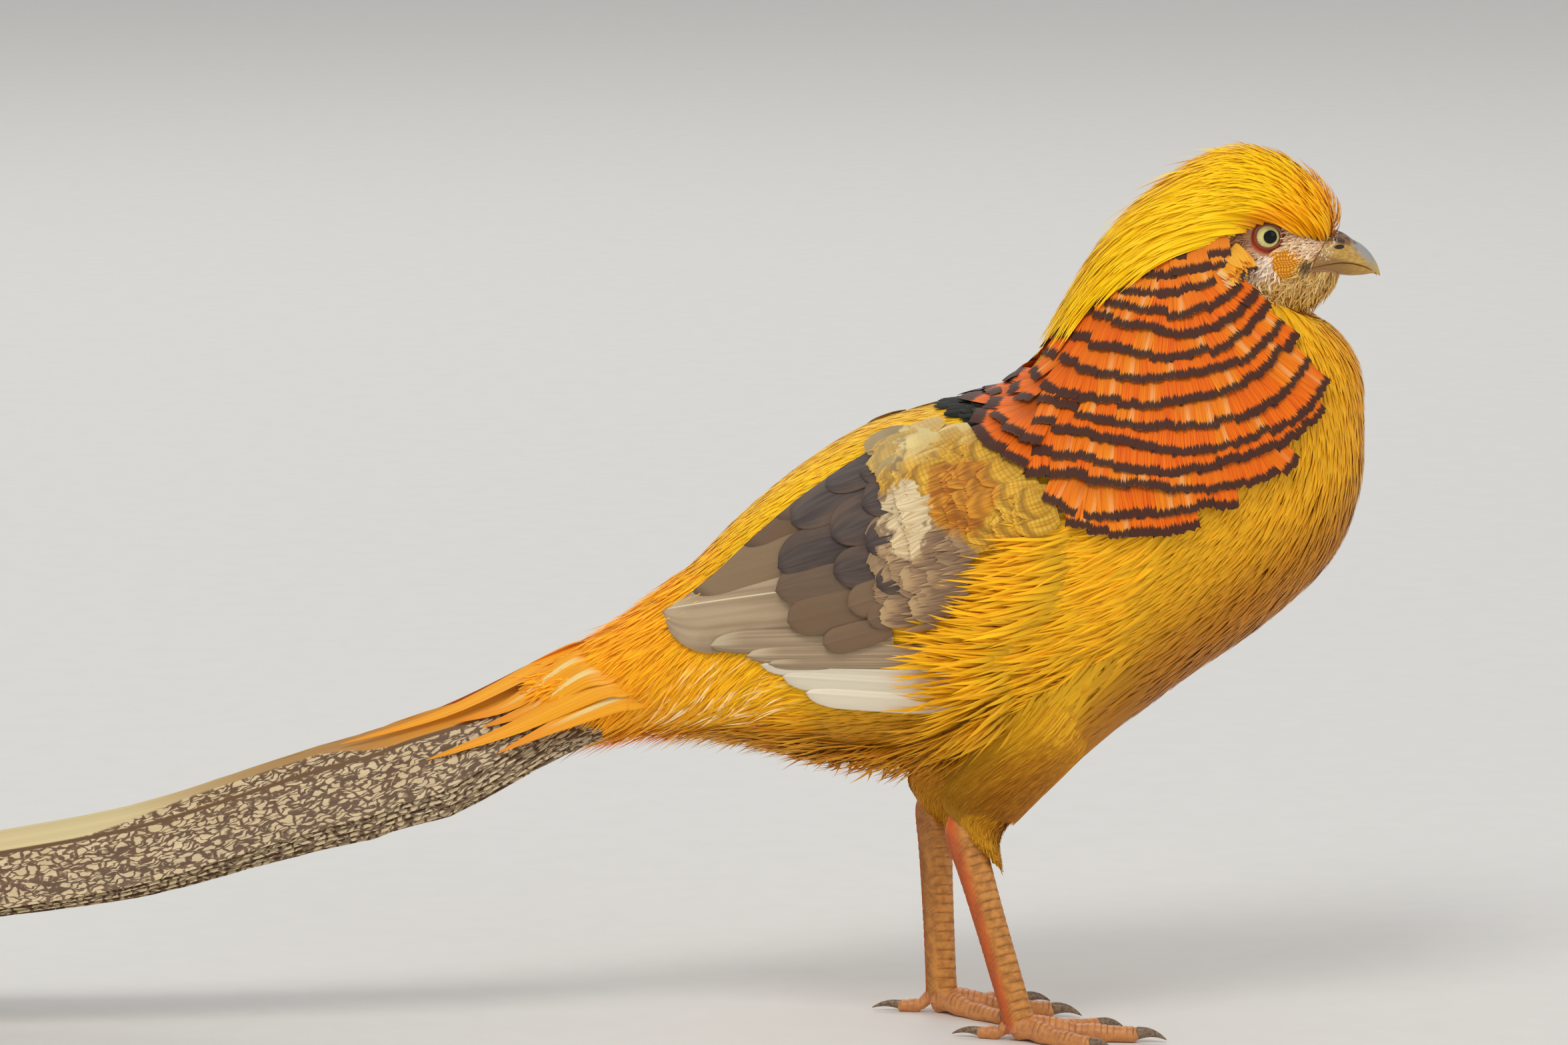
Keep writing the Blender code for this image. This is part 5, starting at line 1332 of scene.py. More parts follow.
# Painted highlight: a pale grey band along the ridge of the upper half, where it catches the light.
tone = bill_mix.blend(tone, colour(158, 160, 158), ridge * x.step(150.0, 146.0) * 0.95)
tone = bill_mix.blend(tone, colour(74, 70, 66), ridge * x.step(141.8, 139.6)
                      * (grain + blotch).step(0.8, 1.15) * 0.8)
brown = (z - 298.2 - (x - 134.0) * -0.25).step(-0.7, 0.6) * x.step(139.4, 137.4)
tone = bill_mix.blend(tone, bill_mix.blend(colour(138, 92, 52), colour(66, 44, 30), blotch.step(0.42, 0.56)),
                      brown)
hole = (1.0 - (x - NOSTRIL[0]) * (x - NOSTRIL[0]) / 5.6 - (z - NOSTRIL[1])
        * (z - NOSTRIL[1]) / 0.9).step(0.0, 0.5)
tone = bill_mix.blend(tone, colour(38, 22, 14), hole)
tone = bill_mix.blend(tone, colour(206, 184, 110), x.step(146.5, 149.5) * 0.6)
flake = (bill_mix.noise(spot, 1.3, 1.0).step(0.54, 0.6) * (x - (z - 294.0) * 0.4).step(131.6, 130.4)
         * z.step(291.6, 292.6))
tone = bill_mix.blend(tone, colour(232, 214, 186), flake * 0.9)
bill_mix.feed(Base_Color=bill_mix.dim(tone, grain * 0.3 + 0.85), Roughness=blotch * 0.2 + 0.28, bump=grain,
              depth=0.00012)
for name, rings, node in (("bill_upper_half", upper, "bill_upper"), ("bill_lower_half", lower, "bill_lower")):
    half = closed_tube(name, rings, bill_mix.material)
    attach(half, "root")
    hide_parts(node)
    half.data.shade_smooth()

# Down of the face. Short soft down of many shades covers lores, cheeks, chin and throat: buff-pink in front
# of the eye, whitish on the cheek and curly straw-coloured tufts under the bill.
FACE_LIE = [((129, 299), 196), ((121, 297), 186), ((114, 291), 214), ((106, 288), 226), ((98, 295), 208),
            ((126, 287), 222), ((134, 285), 258), ((128, 280), 238), ((120, 280), 222), ((111, 279), 212),
            ((103, 282), 222)]
PATCH = (113.9, 289.4)
PATCH_HALF = (7.0, 6.7)
face_lie = flow(FACE_LIE, 6.0)


def face_tones(mix, root):
    """Colours of the face at a place in millimetres."""
    x, y, z = mix.parts(root)
    patchy = mix.noise(root, 0.28, 2.0)
    tone = mix.blend(colour(232, 196, 122), colour(196, 150, 76), patchy.step(0.4, 0.62))
    tone = mix.blend(tone, colour(220, 170, 46), z.step(284.0, 278.0) * 0.7)
    lores = z.step(292.6, 294.6) * x.step(113.0, 117.0)
    tone = mix.blend(tone, mix.blend(colour(252, 226, 190), colour(234, 196, 154), patchy.step(0.4, 0.65)),
                     lores)
    cheek = x.step(116.0, 112.5) * z.step(285.5, 288.0)
    tone = mix.blend(tone, mix.blend(colour(244, 226, 202), colour(214, 172, 140), patchy.step(0.48, 0.68)),
                     cheek)
    tone = mix.blend(tone, colour(214, 162, 122), x.step(106.0, 101.0) * z.step(286.0, 290.0))
    tone = mix.blend(tone, colour(206, 150, 104), z.step(302.0, 305.0) * x.step(112.0, 108.0))
    # Painted shade: a brown band behind and above the eye, for the shade under the edge of the crest.
    tone = mix.blend(tone, colour(152, 98, 58), (z - (x - 95.0) * 0.5).step(294.5, 297.5)
                     * x.step(103.0, 99.0) * 0.85)
    corner = 1.0 - (x - 122.0) * (x - 122.0) / 9.0 - (z - 290.4) * (z - 290.4) / 9.0
    return mix.blend(tone, colour(92, 62, 42), corner.step(0.0, 0.7) * 0.85), x, z


down_mix = Finish("face_down", Roughness=0.75, Specular_IOR_Level=0.2, Sheen_Weight=0.3)
tone, x, z = face_tones(down_mix, down_mix.attribute("root", 1))
lengthwise, chance = down_mix.attribute("lengthwise"), down_mix.attribute("luck")
# Painted light: each down strand is brighter towards its tip, with random tone.
down_mix.feed(Base_Color=down_mix.dim(tone, (lengthwise * 0.2 + 0.98) * (chance * 0.24 + 0.92)),
              bump=lengthwise)
down_luck = np.random.default_rng(101)
# Layers: name, pitch, spacing, width, length, height, sway.
DOWN_LAYERS = [("face_down_short", 0.95, 0.6, 0.62, 2.3, 0.7, 0.5),
               ("face_down_curls", 1.5, 1.2, 0.95, 5.0, 2.0, 1.2),
               ("face_down_wisps", 2.2, 2.2, 0.8, 7.5, 3.2, 1.3)]
for name, pitch, spacing, width, length, height, sway in DOWN_LAYERS:
    t, turn = scattered(0.06, 5.4, pitch, spacing, down_luck, -184.0, 184.0)
    here = on_body(t, turn)
    x, z = here[:, 0], here[:, 2] - np.abs(here[:, 1]) * math.tan(LOOK_DOWN)
    kept = ~above_crest_edge(here, 1.0) & (np.hypot(x - eye_seen[0], z - eye_seen[1]) > 7.0) & (x > 92.0)
    if name == "face_down_curls":
        kept &= (z < 286.5) | ((x < 112.0) & (z < 291.0) & (x > 103.0))
    if name == "face_down_wisps":
        kept &= (z < 282.5) & (x > 108.0)
    horn = (x > 124.2 + (z - 289.9) * 0.56) & (z > 286.2) & (z < 303.0)
    patch = np.hypot((x - PATCH[0]) / PATCH_HALF[0],
                     (z - PATCH[1]) / PATCH_HALF[1]) < down_luck.uniform(0.6, 0.95, len(x))
    kept &= ~patch & ~horn
    t, turn = t[kept], turn[kept]
    size = len(t)
    lines, outs = trails(t, turn, length * down_luck.uniform(0.7, 1.25, size), -0.5,
                         height * down_luck.uniform(0.5, 1.2, size), 5, way=face_lie,
                         sway=down_luck.uniform(-sway, sway, size))
    bend = down_luck.normal(0, 0.28 * length / 3.0, (size, 1, 3)) * (np.linspace(0, 1, 6) ** 2)[None, :, None]
    grid = blades(lines + bend, outs, width * down_luck.uniform(0.7, 1.3, size), (0.8, 1.0, 0.9, 0.6, 0.15),
                  2, 0.0,
                  down_luck.uniform(-0.7, 0.7, size))
    feathers(name, [grid], [lines[:, 0]], [patches(t, turn)], down_mix.material,
             [down_luck.uniform(0, 1, size)])

# Cheek patch. A small oval of orange-yellow warty skin below the front of each eye: rows of fine raised
# grains.
PATCH_STEPS = 90
u, v = np.meshgrid(np.linspace(-1, 1, PATCH_STEPS), np.linspace(-1, 1, PATCH_STEPS))
across, upward = u * np.sqrt(1 - v * v / 2), v * np.sqrt(1 - u * u / 2)
uneven = (1 + 0.07 * np.sin(3 * np.arctan2(upward, across) + 1.0) + 0.05
          * np.sin(5 * np.arctan2(upward, across)))
across, upward = across * uneven * PATCH_HALF[0] + 0.9 * upward ** 2, upward * uneven * PATCH_HALF[1]
wave = 0.35 * np.sin(upward * 1.3) + 0.25 * np.sin(across * 0.9 + 1.0)
grains = np.cos((across + upward * 0.35 + wave) * math.pi / 0.62) * 0.5 + 0.5
grains = grains * (0.55 + 0.45 * np.cos((upward - across * 0.2 + wave) * math.pi / 0.55))
t, turn = seen(np.stack((PATCH[0] + across, PATCH[1] + upward), axis=-1))
edge = smooth_step(0.0, 0.45, 1 - (u * u + v * v - u * u * v * v))
patch_rows = on_body(t, turn, -coat_depth(t) - 0.1 + (0.8 + 0.45 * grains) * edge)
patch_mix = Finish("cheek_patch", Roughness=0.5, Specular_IOR_Level=0.35, Subsurface_Weight=0.2,
                   Subsurface_Scale=0.001)
spot = patch_mix.spot()
grain = patch_mix.noise(spot, 1.1, 2.0)
raised = patch_mix.attribute("raised")
tone = patch_mix.blend(colour(208, 124, 16), colour(255, 184, 32), raised.step(0.05, 0.5))
tone = patch_mix.blend(tone, colour(255, 206, 92), raised.step(0.6, 0.95) * grain.step(0.4, 0.7) * 0.6)
tone = patch_mix.blend(tone, colour(240, 188, 128), patch_mix.attribute("edge").step(0.8, 0.1) * 0.8)
patch_mix.feed(Base_Color=tone, bump=grain, depth=0.0001)
for made in by_sides(patch_rows.reshape(-1, 3), grid_faces(PATCH_STEPS, PATCH_STEPS).tolist(), "cheek_patch",
                     patch_mix.material, "face_down"):
    for key, values in (("raised", grains), ("edge", edge)):
        made.data.attributes.new(key, "FLOAT", "POINT").data.foreach_set("value",
                                                                         values.ravel().astype(np.float32))

# Ear feathers. A small fan of soft yellow-orange feathers over the front of the ruff, paler at its rear, with
# a dark bar along its lower edge.
EAR_ROWS = [([(92.0, 279.8), (97.6, 284.2), (102.6, 288.6)], 8.5, 5.8),
            ([(91.4, 283.0), (95.4, 287.0), (99.8, 291.0)], 7.5, 6.2)]
ear_luck = np.random.default_rng(121)
roots, tips, heights, barred = [], [], [], []
for number, (row, span, height) in enumerate(EAR_ROWS):
    spots, ways, pace = along_row(row, 0.45)
    ways = unit(ways + ear_luck.uniform(-0.1, 0.1, ways.shape))
    tips.append(spots + ways * ear_luck.uniform(-1.4, 0.5, (len(spots), 1)))
    roots.append(spots - ways * span)
    heights.append(height + ear_luck.uniform(-0.5, 0.5, len(spots)))
    barred.append(np.full(len(spots), float(number == 0)))
roots, tips, heights, barred = (np.concatenate(v) for v in (roots, tips, heights, barred))
lines, outs, homes = laid(roots, tips, 8, 1.6, heights)
ear_mix = Finish("ear_feathers", Roughness=0.6, Specular_IOR_Level=0.2, Sheen_Weight=0.15)
streak, lengthwise, chance = barbs(ear_mix, 3.0)
x, y, z = ear_mix.parts(ear_mix.spot())
tone = ear_mix.blend(colour(255, 186, 56), colour(250, 158, 30), (streak * 0.6 + chance * 0.4).step(0.3, 0.7))
tone = ear_mix.blend(tone, colour(255, 218, 156), (x + (z - 288.0) * 0.7 + chance * 2.0).step(93.5, 89.5)
                     * 0.8)
tip = (lengthwise + (chance - 0.5) * 0.12).step(0.8, 0.88) * ear_mix.attribute("barred")
tone = ear_mix.blend(tone, colour(72, 50, 40), tip * x.step(94.0, 97.0))
# Painted shade: each ear feather is darker towards its root and brighter at its tip.
ear_mix.feed(Base_Color=ear_mix.dim(tone, lengthwise * 0.2 + 0.88), bump=streak, depth=0.0003)
ear_widths = ear_luck.uniform(1.6, 2.6, len(roots))
for word, turned in (("right", lambda p: p), ("left", mirrored)):
    grid = turned(blades(lines, outs, ear_widths, (0.5, 0.9, 1.0, 0.9, 0.6, 0.15), 3, 0.2,
                         ear_luck.uniform(-0.3, 0.3, len(roots)), 0.8, ear_luck))
    feathers("ear_" + word + "_feathers", [grid], [turned(lines[:, 0])], [packed(len(grid))],
             ear_mix.material,
             [ear_luck.uniform(0, 1, len(grid))], {"barred": [barred]})

# Tail. Eight pairs of long stiff feathers nest like a steep roof, the middle pair longest and uppermost,
# plain cream along the ridge and mottled with cream on brown below the shaft; a short feathered root carries
# them. Ridge of the tail: x, z and the slope of its sides in degrees.
TAIL = np.array([(-140.0, 141.0, 52.0), (-185.0, 127.5, 54.0), (-227.0, 113.5, 54.0), (-320.0, 85.0, 50.0),
                 (-420.0, 67.0, 44.0), (-540.0, 49.0, 37.0), (-680.0, 29.0, 30.0), (-785.0, 14.5, 26.0)])
# Pairs of feathers from the middle outwards: x of the tip, width, and how far each sits down the slope.
TAIL_PAIRS = [(-784.0, 36.0, 0.0), (-700.0, 34.0, 3.5), (-618.0, 33.0, 6.5), (-540.0, 32.0, 9.5),
              (-466.0, 31.5, 12.0), (-398.0, 31.0, 14.0), (-335.0, 30.0, 16.0), (-274.0, 27.0, 18.0)]
TAIL_STEP = 1.35
TAIL_ROOT = -141.0


def on_tail(x, down, inward, side):
    """Places on one side of the tail: down its slope, and inward from its outer face."""
    x, down, inward = np.broadcast_arrays(*(np.asarray(v, float) for v in (x, down, inward)))
    knots = np.arange(len(TAIL), dtype=float)
    row = along(TAIL, np.interp(-x, -TAIL[:, 0], knots))
    slope = np.radians(row[..., 2])
    y = 0.4 + down * np.cos(slope) - inward * np.sin(slope)
    z = row[..., 1] - down * np.sin(slope) - inward * np.cos(slope)
    return np.stack((x, -side * y, z), axis=-1)


tail_mix = Finish("tail_feathers", Roughness=0.5, Specular_IOR_Level=0.35)
streak, lengthwise, chance = barbs(tail_mix, 10.0)
crosswise = tail_mix.attribute("crosswise")
reach = lengthwise * tail_mix.attribute("span")
slope = crosswise * tail_mix.attribute("width") * 0.5
where = tail_mix.node("ShaderNodeCombineXYZ", {}, {0: reach + slope * 0.5, 1: slope * 1.6, 2: chance * 60.0})
wobble = tail_mix.noise(where, 0.16, 2.0)
bent = tail_mix.node("ShaderNodeCombineXYZ", {}, {0: (reach + slope * 1.3 + wobble * 6.0) * 0.18,
                                                  1: (slope - reach * 0.24 + wobble * 7.0) * 0.5, 2: chance
                                                  * 60.0})
cells = tail_mix.node("ShaderNodeTexVoronoi", {"feature": "DISTANCE_TO_EDGE"},
                      {"Vector": bent, "Scale": 1.0, "Randomness": 0.75}, "Distance")
mottle = (cells + (tail_mix.noise(where, 0.4, 2.0) - 0.5) * 0.22).step(0.06, 0.17)
brown = tail_mix.blend(colour(88, 62, 42), colour(118, 88, 60), streak)
pale = tail_mix.blend(colour(226, 204, 164), colour(200, 172, 126), tail_mix.noise(where, 0.06, 1.0))
tone = tail_mix.blend(brown, pale, mottle)
narrow = reach.step(70.0, 110.0) * reach.step(210.0, 150.0) * 0.4
ridge = (crosswise + narrow).step(-0.34, -0.42) * tail_mix.attribute("kind").step(0.5, 0.4)
plain = tail_mix.blend(colour(214, 142, 28), colour(216, 196, 146), reach.step(55.0, 190.0))
plain = tail_mix.blend(plain, colour(150, 112, 66), (reach.step(60.0, 105.0) * reach.step(190.0, 120.0))
                       * 0.6)
tone = tail_mix.blend(tone, plain, ridge)
shaft = abs(crosswise + 0.38).step(0.07, 0.03)
tone = tail_mix.blend(tone, colour(112, 78, 44), shaft * tail_mix.attribute("kind").step(0.5, 0.4))
tail_mix.feed(Base_Color=tail_mix.dim(tone, streak * 0.36 + 0.84), bump=streak, depth=0.0002)

tail_luck = np.random.default_rng(81)
grids, roots, spans, widths, kinds = [], [], [], [], []
for side in (1, -1):
    for pair, (tip, width, down) in enumerate(TAIL_PAIRS):
        steps = max(30, int((TAIL_ROOT - tip) / 5.5))
        f = np.linspace(0, 1, steps)
        x = TAIL_ROOT + (tip - TAIL_ROOT) * f
        share = np.minimum(1.0, 0.42 + 0.9 * (TAIL_ROOT - x) / 90.0) * np.sqrt(np.maximum(0.01, 1 - f ** 3.2))
        inward = 0.6 + TAIL_STEP * pair + 0.5 * (side < 0) * (pair == 0)
        settle = down * (1 - 0.5 * f) + width * share * 0.5 + 0.2
        c = np.linspace(-1, 1, 15)
        bow = 0.9 * (1 - c * c) + 0.5 * np.maximum(0, 1 - np.abs(c + 0.38) * 8.0)
        ripple = tail_luck.normal(0, 0.12, (steps, 1)) * c
        grid = on_tail(x[:, None], settle[:, None] + width * share[:, None] * c * 0.5, inward - bow + ripple,
                       side)
        grids.append(grid[None])
        roots.append(grid[:1, 7])
        spans.append(np.array([TAIL_ROOT - tip]))
        widths.append(np.array([width]))
        kinds.append(np.array([float(pair)]))
corner, cell = packed(len(grids))
homes = [(corner[n:n + 1], cell[n:n + 1]) for n in range(len(grids))]
feathers("tail_feathers", grids, roots, homes, tail_mix.material,
         [tail_luck.uniform(0, 1, 1) for _ in grids], {"span": spans, "width": widths, "kind": kinds},
         ("tail",))

# Tail coverts. Lance-shaped plumes over the root of the tail, orange-yellow with cream along the shaft.
# Each: start on the rump (place and degrees), tip (x and how far down the tail's side), width.
COVERTS = [((16.0, 5.0), (-240.0, 3.5), 7.5), ((16.2, 34.0), (-197.0, 9.5), 10.0),
           ((16.3, 54.0), (-186.0, 15.0), 11.0),
           ((16.4, 72.0), (-207.0, 22.0), 10.5), ((16.6, 90.0), (-180.0, 28.0), 10.5)]
covert_mix = Finish("tail_coverts", Roughness=0.45, Specular_IOR_Level=0.35, Sheen_Weight=0.2)
streak, lengthwise, chance = barbs(covert_mix, 9.0)
crosswise = covert_mix.attribute("crosswise")
tone = covert_mix.blend(colour(248, 148, 2), colour(255, 184, 8), streak)
tone = covert_mix.blend(tone, colour(238, 118, 4), lengthwise.step(0.6, 1.0) * chance * 0.6)
cream = abs(crosswise - 0.1).step(0.3, 0.12) * lengthwise.band(0.4, 0.72, 0.12) * chance.step(0.45, 0.5)
tone = covert_mix.blend(tone, colour(250, 226, 150), cream * 0.85)
covert_mix.feed(Base_Color=covert_mix.dim(tone, streak * 0.4 + 0.8), bump=streak, depth=0.0003)
covert_luck = np.random.default_rng(91)
lines, outs, widths, places = [], [], [], []
for side in (1, -1):
    for (t, degrees), (x, down), width in COVERTS:
        turn = side * degrees
        start = [on_body(t + step, turn, lift) for step,
                 lift in ((0.0, -5.0), (1.0, -1.2), (RUMP_END - t, 1.8))]
        middle = on_tail((x + start[-1][0]) / 2, down * 0.85 + 1.5, -3.0, side)
        knots = np.array([*start, middle, on_tail(x, down, -2.0, side)])
        line = along(knots, np.linspace(0, 4, 26))
        ahead = unit(np.gradient(line, axis=0))
        upward = np.array((0.0, -side * math.sin(math.radians(degrees)), math.cos(math.radians(degrees))))
        slope_out = np.array((0.0, -side * 0.8, 0.6))
        blend = np.linspace(0, 1, 26)[:, None] ** 0.6
        facing = unit(upward * (1 - blend) + slope_out * blend)
        lines.append(line)
        outs.append(unit(facing - ahead * (facing * ahead).sum(-1, keepdims=True)))
        widths.append(width)
        places.append((t, degrees % 360.0 if side > 0 else (360.0 - degrees)))
lines, outs, places = np.array(lines), np.array(outs), np.array(places)
grid = blades(lines, outs, np.array(widths), (0.2, 0.7, 1.0, 1.0, 0.85, 0.6, 0.3, 0.03), 9, 0.14)
corner, cell = packed(len(lines))
feathers("tail_coverts", [grid], [lines[:, 0]], [(corner, cell)], covert_mix.material,
         [covert_luck.uniform(0, 1, len(lines))])

# Plumage of the thighs. Short hair-like golden feathers run down each thigh and end in points round the hock.
thigh_luck = np.random.default_rng(111)
thigh_finish = plumage_finish("thigh_plumage", 0.84, 1.14, 3.0, colour(236, 166, 12), 0.4)
for word, (side, hock, foot, heading) in LEGS.items():
    count = 5600
    f0 = thigh_luck.uniform(0.02, 1.0, count) ** 0.8
    angle = thigh_luck.uniform(-math.pi, math.pi, count)
    reach = thigh_luck.uniform(14.0, 22.0, count) / 62.0
    swept = np.interp(f0, (0.0, 0.3, 0.6, 1.0), (0.05, 0.25, 0.8, 1.3)) * thigh_luck.uniform(0.7, 1.2, count)
    lowest = (np.interp(np.abs(angle), (0.0, 1.2, 2.4), (-0.17, -0.08, 0.0))
              * thigh_luck.uniform(0.3, 1.1, count))
    bend = thigh_luck.normal(0, 0.05, count)
    lines = []
    for k in range(7):
        share = k / 6
        f = np.maximum(f0 - reach * share * np.cos(np.minimum(swept, 1.0)), lowest)
        turned = angle + np.sign(angle) * np.minimum(swept * share, math.pi - np.abs(angle)) + bend * share
        lift = -2.2 + 2.4 * share + (thigh_luck.uniform(-0.3, 0.4, count) - 7.0
                                     * np.clip(f0 - 0.6, 0.0, 0.4)) * share
        lift = lift + 1.4 * np.clip((0.18 - f) / 0.18, 0.0, 1.0)
        here = thigh_place(side, hock, np.maximum(f, 0.0), math.pi / 2 + turned, lift)
        lines.append(here + np.array((-0.12, 0.0, 1.0)) * np.minimum(f, 0.0)[:, None] * 62.0)
    lines = np.stack(lines, axis=1)
    middle = thigh_place(side, hock, np.clip(f0, 0, 1), math.pi / 2 + angle, -30.0)
    outs = np.repeat(unit(lines[:, 0] - middle)[:, None, :], 7, axis=1)
    grid = blades(lines, outs, thigh_luck.uniform(0.9, 1.8, count), (0.5, 1.0, 0.9, 0.7, 0.4, 0.05), 2, 0.0,
                  thigh_luck.uniform(-0.4, 0.4, count))
    corner = np.stack((0.02 + (angle + math.pi) / (2 * math.pi) * 0.95, 0.02 + f0 * 0.95), axis=-1)
    feathers("thigh_plumage_" + word, [grid], [lines[:, 0]], [(corner, np.full(count, 0.003))], thigh_finish,
             [thigh_luck.uniform(0, 1, count)])

# Feathers of the flank that pass from the body on to the thigh and cover the seam between them.
cover_finish = plumage_finish("thigh_cover", 0.88, 1.08, 3.0)
for word, (side, hock, foot, heading) in LEGS.items():
    count = 2600
    angle = thigh_luck.uniform(0.0, 3.0, count)
    f0 = thigh_luck.uniform(0.5, 1.0, count) - 0.26 * np.clip((angle - 1.3) / 1.4, 0.0, 1.0)
    over = []
    for k in range(4):
        f = f0 - 0.07 * k
        over.append(thigh_place(side, hock, f, math.pi / 2 - side * (angle + 0.16 * k * f0), 0.2 + 0.3 * k))
    spots = as_seen(over[0] * (1.0, -side, 1.0)) + np.stack((thigh_luck.uniform(9, 28, count),
                                                             thigh_luck.uniform(5, 19, count)), axis=-1)
    t, turn = seen(spots)
    start = on_body(t, turn, -1.5) * (1.0, -side, 1.0)
    lines = [start]
    for share in (0.33, 0.66):
        bulge = np.array((0.6, side * 2.0, 0.3)) * math.sin(share * math.pi)
        lines.append(start + (over[0] - start) * share + bulge)
    lines = np.stack(lines + over, axis=1)
    outs = np.repeat(unit(slopes(t, turn, 0.0)[2] * (1.0, -side, 1.0) + (0.1, side * 0.6, 0.0))[:, None, :],
                     7, axis=1)
    grid = blades(lines, outs, thigh_luck.uniform(1.2, 2.2, count), (0.4, 1.0, 1.0, 0.85, 0.6, 0.05), 3, 0.3,
                  thigh_luck.uniform(-0.3, 0.3, count))
    feathers("thigh_cover_" + word, [grid], [lines[:, 0]], [patches(t, turn * -side)], cover_finish,
             [thigh_luck.uniform(0, 1, count)])

# Shanks. Bare legs clad in two rows of horny shields in front and a net of small scales behind, yellow-ochre
# with a reddish line along the rear edge; each stands on the foot and goes up into the plumage at the hock.
leg_mix = Finish("leg_scales", Roughness=0.42, Specular_IOR_Level=0.45, Subsurface_Weight=0.08,
                 Subsurface_Scale=0.001)
around, lengthwise, groove = (leg_mix.attribute(key) for key in ("around", "lengthwise", "groove"))
spot = leg_mix.spot()
mottle = leg_mix.noise(spot, 0.35, 3.0)
grain = leg_mix.noise(spot, 2.2, 2.0)
tone = leg_mix.blend(colour(216, 146, 66), colour(182, 116, 46), mottle.step(0.35, 0.7))
tone = leg_mix.blend(tone, colour(220, 88, 20), around.step(0.5, 0.85) * 0.85)
tone = leg_mix.blend(tone, colour(222, 150, 112), lengthwise.step(0.94, 1.0) * 0.6)
tone = leg_mix.blend(tone, colour(120, 78, 42), groove * 0.7)
leg_mix.feed(Base_Color=leg_mix.dim(tone, grain * 0.3 + 0.85), bump=grain, depth=0.0001)


def scaled(name, rings, numbers, stands):
    """Closed scaled piece through rings, with the numbers that its material reads at each point."""
    made = closed_tube(name, rings, leg_mix.material)
    for key, values in numbers.items():
        flat = np.asarray(values, float).reshape(rings.shape[0], rings.shape[1])
        full = np.concatenate((flat.ravel(), flat[:1].mean(axis=1), flat[-1:].mean(axis=1)))
        made.data.attributes.new(key, "FLOAT", "POINT").data.foreach_set("value", full.astype(np.float32))
    made.data.shade_smooth()
    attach(made, "root")
    if stands:
        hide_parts(*stands)
    return made


SHANK_WIDE = np.array([2.6, 4.9, 5.1, 4.3, 3.8, 3.7, 3.9, 4.9])
SHANK_TALL = np.array([3.0, 6.5, 7.0, 6.5, 6.0, 5.8, 5.8, 6.1])
SHANK_STOPS = np.array([-6.0, 0.0, 6.0, 14.0, 30.0, 50.0, 66.0, 76.0])
SHIELD = 3.6
for word, (side, hock, foot, heading) in LEGS.items():
    top = np.array((hock[0], side * LEG_Y, hock[1]))
    bottom = np.array((foot[0] + 1.0, side * LEG_Y, 4.0))
    length = np.linalg.norm(bottom - top)
    down = (bottom - top) / length
    s = np.linspace(-6.0, length, 150)
    stop = np.interp(s / length * 76.0, SHANK_STOPS, np.arange(8.0))
    wide, tall = along(SHANK_WIDE, stop), along(SHANK_TALL, stop)
    a = np.linspace(0, 2 * math.pi, 56, endpoint=False)
    front = unit(np.cross((0.0, 1.0, 0.0), down))
    front = front * np.sign(front[0])
    rise = np.zeros((150, 56))
    dark = np.zeros((150, 56))
    for n, angle in enumerate(a):
        facing = math.cos(angle)
        row = 0.5 if math.sin(angle) * side > 0 else 0.0
        shift = row + 0.35 * abs(math.sin(angle))
        place = s / SHIELD + shift
        inside_shield = np.abs(place % 1.0 - 0.5) * 2
        small = np.abs((s / 1.7 + angle * 3.2) % 1.0 - 0.5) * 2
        net = np.abs((angle * 4.6 + (s / 1.7 // 1.0) * 0.5) % 1.0 - 0.5) * 2
        share = smooth_step(-0.35, 0.05, facing)
        edge = (smooth_step(0.74, 1.0, inside_shield) * share + smooth_step(0.7, 1.0, np.maximum(small, net))
                * (1 - share))
        rise[:, n] = 0.32 * (place % 1.0) * share - 0.34 * edge
        dark[:, n] = edge
    fade = smooth_step(-4.0, 4.0, s)[:, None]
    rings = ((top + down * s[:, None])[:, None, :] + front
             * (np.cos(a) * (tall[:, None] + rise * fade))[..., None])
    rings = rings + np.array((0.0, 1.0, 0.0)) * (np.sin(a) * (wide[:, None] + rise * fade))[..., None]
    behind = np.broadcast_to((0.5 - 0.5 * np.cos(a)) * smooth_step(-0.9, 0.0, np.sin(a) * side), rise.shape)
    share = np.broadcast_to((s / length)[:, None], rise.shape)
    scaled("shank_scales_" + word, rings, {"around": behind, "lengthwise": share, "groove": dark * fade},
           ("shank_" + word,))

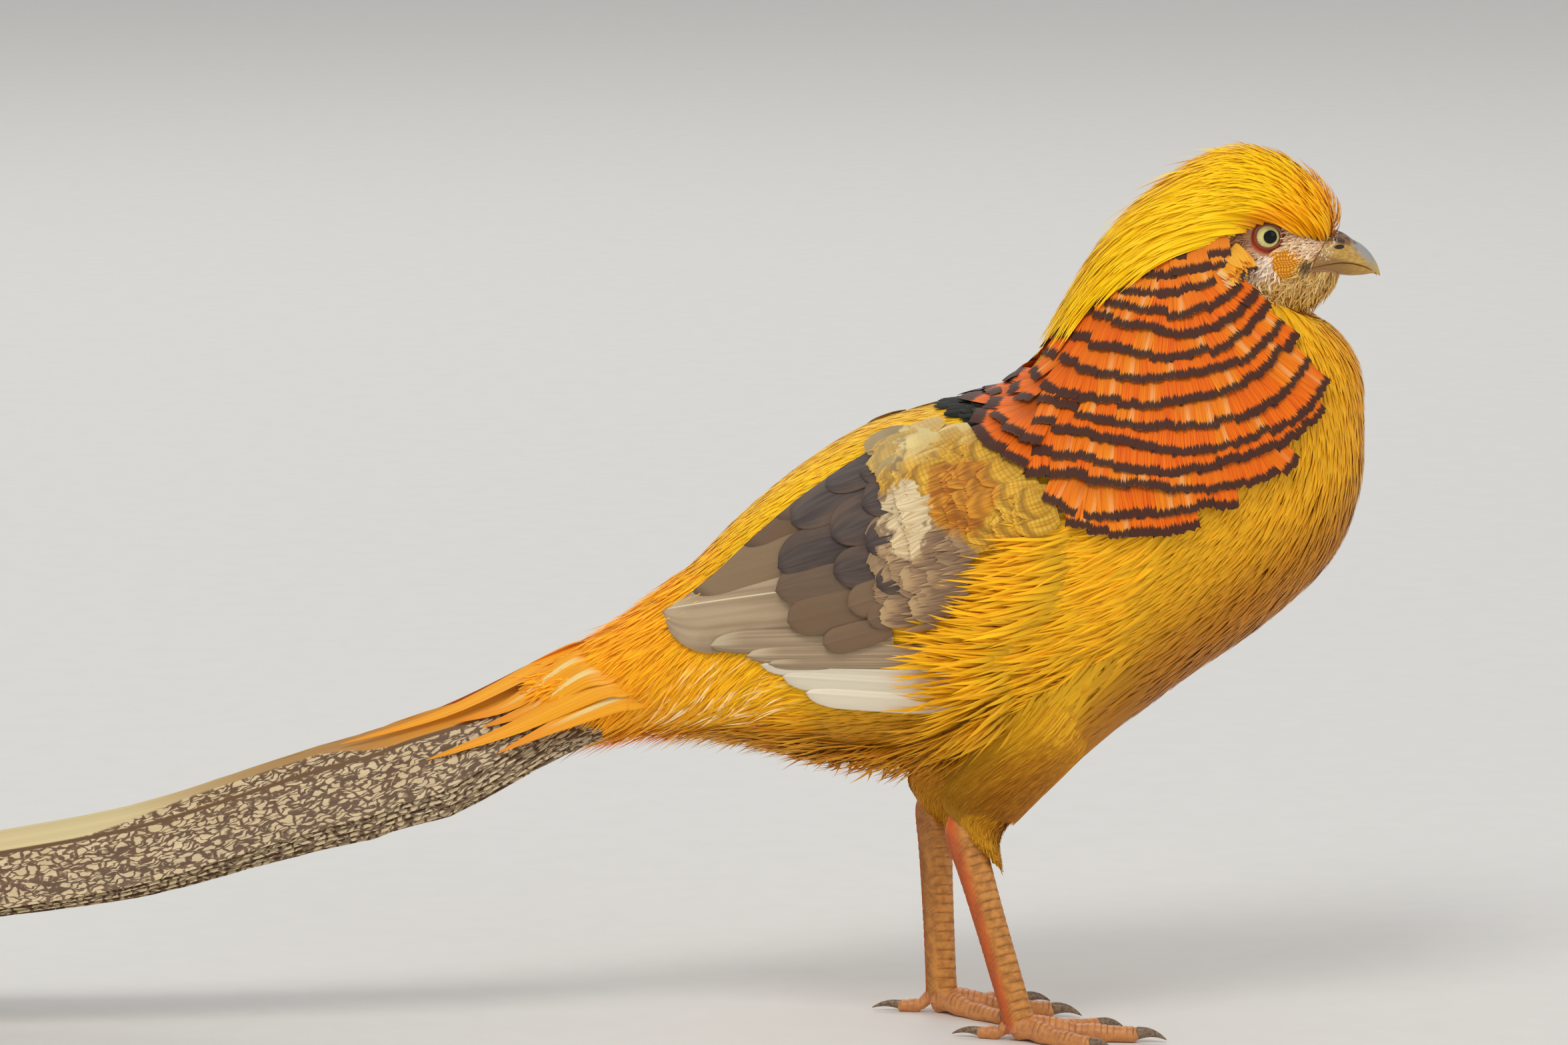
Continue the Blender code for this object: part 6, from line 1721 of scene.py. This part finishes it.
# Feet. Three toes in front and a short one behind, each with a row of shields on top and soft pads below, and
# a blunt dark horn claw.
TOES = [("middle", 0.0, 46.0, 3.6), ("inner", 32.0, 35.0, 3.3), ("outer", -34.0, 36.0, 3.3),
        ("hind", 172.0, 16.0, 2.6)]
CLAW = 10.0
claw_mix = Finish("claw_horn", Roughness=0.35, Specular_IOR_Level=0.5)
spot = claw_mix.spot()
layers = claw_mix.noise(spot, 0.9, 3.0)
tone = claw_mix.blend(colour(146, 120, 92), colour(96, 78, 62), layers.step(0.3, 0.7))
claw_mix.feed(Base_Color=tone, bump=layers, depth=0.0001)
for word, (side, hock, foot, heading) in LEGS.items():
    centre = np.array((foot[0], side * LEG_Y, 0.0))
    for label, turn, length, radius in TOES:
        angle = math.radians(heading - turn * side)
        ahead = np.array((math.cos(angle), math.sin(angle), 0.0))
        across = np.array((-ahead[1], ahead[0], 0.0))
        lift = 7.5 if label == "hind" else 5.5
        steps = int(length * 2.2)
        f = np.linspace(0, 1, steps)
        height = np.interp(f, (0.0, 0.18, 0.5, 0.8, 1.0),
                           (lift, lift * 0.9, radius * 0.9, radius * 0.86, radius * 0.8))
        pads = 1.0 + 0.07 * np.cos(f * length / (length / 3.2) * 2 * math.pi)
        taper = np.sqrt(np.clip((1.0 - f) / 0.05, 0.1, 1.0))
        wide = radius * np.interp(f, (0, 0.18, 0.5, 0.8, 1.0), (1.3, 1.15, 1.0, 0.92, 0.72)) * pads * taper
        tall = radius * np.interp(f, (0, 0.18, 0.5, 0.8, 1.0), (1.5, 1.3, 0.98, 0.88, 0.7)) * pads * taper
        a = np.linspace(0, 2 * math.pi, 36, endpoint=False)
        shield = (f * length / 2.4) % 1.0
        upper = smooth_step(-0.1, 0.35, np.sin(a))
        edge = smooth_step(0.72, 1.0, np.abs(shield - 0.5) * 2)[:, None] * upper
        pebble = (0.5 + 0.5 * np.cos(f * length * 3.4))[:, None] * (1 - upper) * 0.12
        rise = (0.26 * shield[:, None] * upper - 0.28 * edge + pebble) * (f < 0.96)[:, None]
        line = centre + ahead * (f * length)[:, None] + np.array((0.0, 0.0, 1.0)) * height[:, None]
        rings = line[:, None, :] + across * (np.cos(a) * (wide[:, None] + rise))[..., None]
        rings[..., 2] += np.sin(a) * (tall[:, None] + rise)
        rings[..., 2] = np.maximum(rings[..., 2], 0.02)
        scaled("toe_" + label + "_" + word, rings,
               {"around": np.full(rise.shape, 0.1), "lengthwise": np.full(rise.shape, 0.97), "groove": edge},
               ("foot_" + word,) if label == "middle" else ())
        f = np.linspace(0, 1, 24)
        base = centre + ahead * (length - 1.6) + np.array((0.0, 0.0, radius * 0.95))
        drop = radius * 0.95 - 0.7
        line = base + ahead * (f * (CLAW + 1.2))[:, None]
        line[:, 2] += 0.9 * np.sin(f * math.pi * 0.8) - drop * f ** 2.2
        size = radius * 0.62 * (1 - f) ** 0.75 + 0.12
        a = np.linspace(0, 2 * math.pi, 20, endpoint=False)
        rings = line[:, None, :] + across * (np.cos(a) * size[:, None] * 0.85)[..., None]
        rings[..., 2] = np.maximum(rings[..., 2] + np.sin(a) * size[:, None] * 1.1, 0.02)
        claw = closed_tube("claw_piece_" + label + "_" + word, rings, claw_mix.material)
        claw.data.shade_smooth()
        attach(claw, "root")
        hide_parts("claw_" + label + "_" + word)
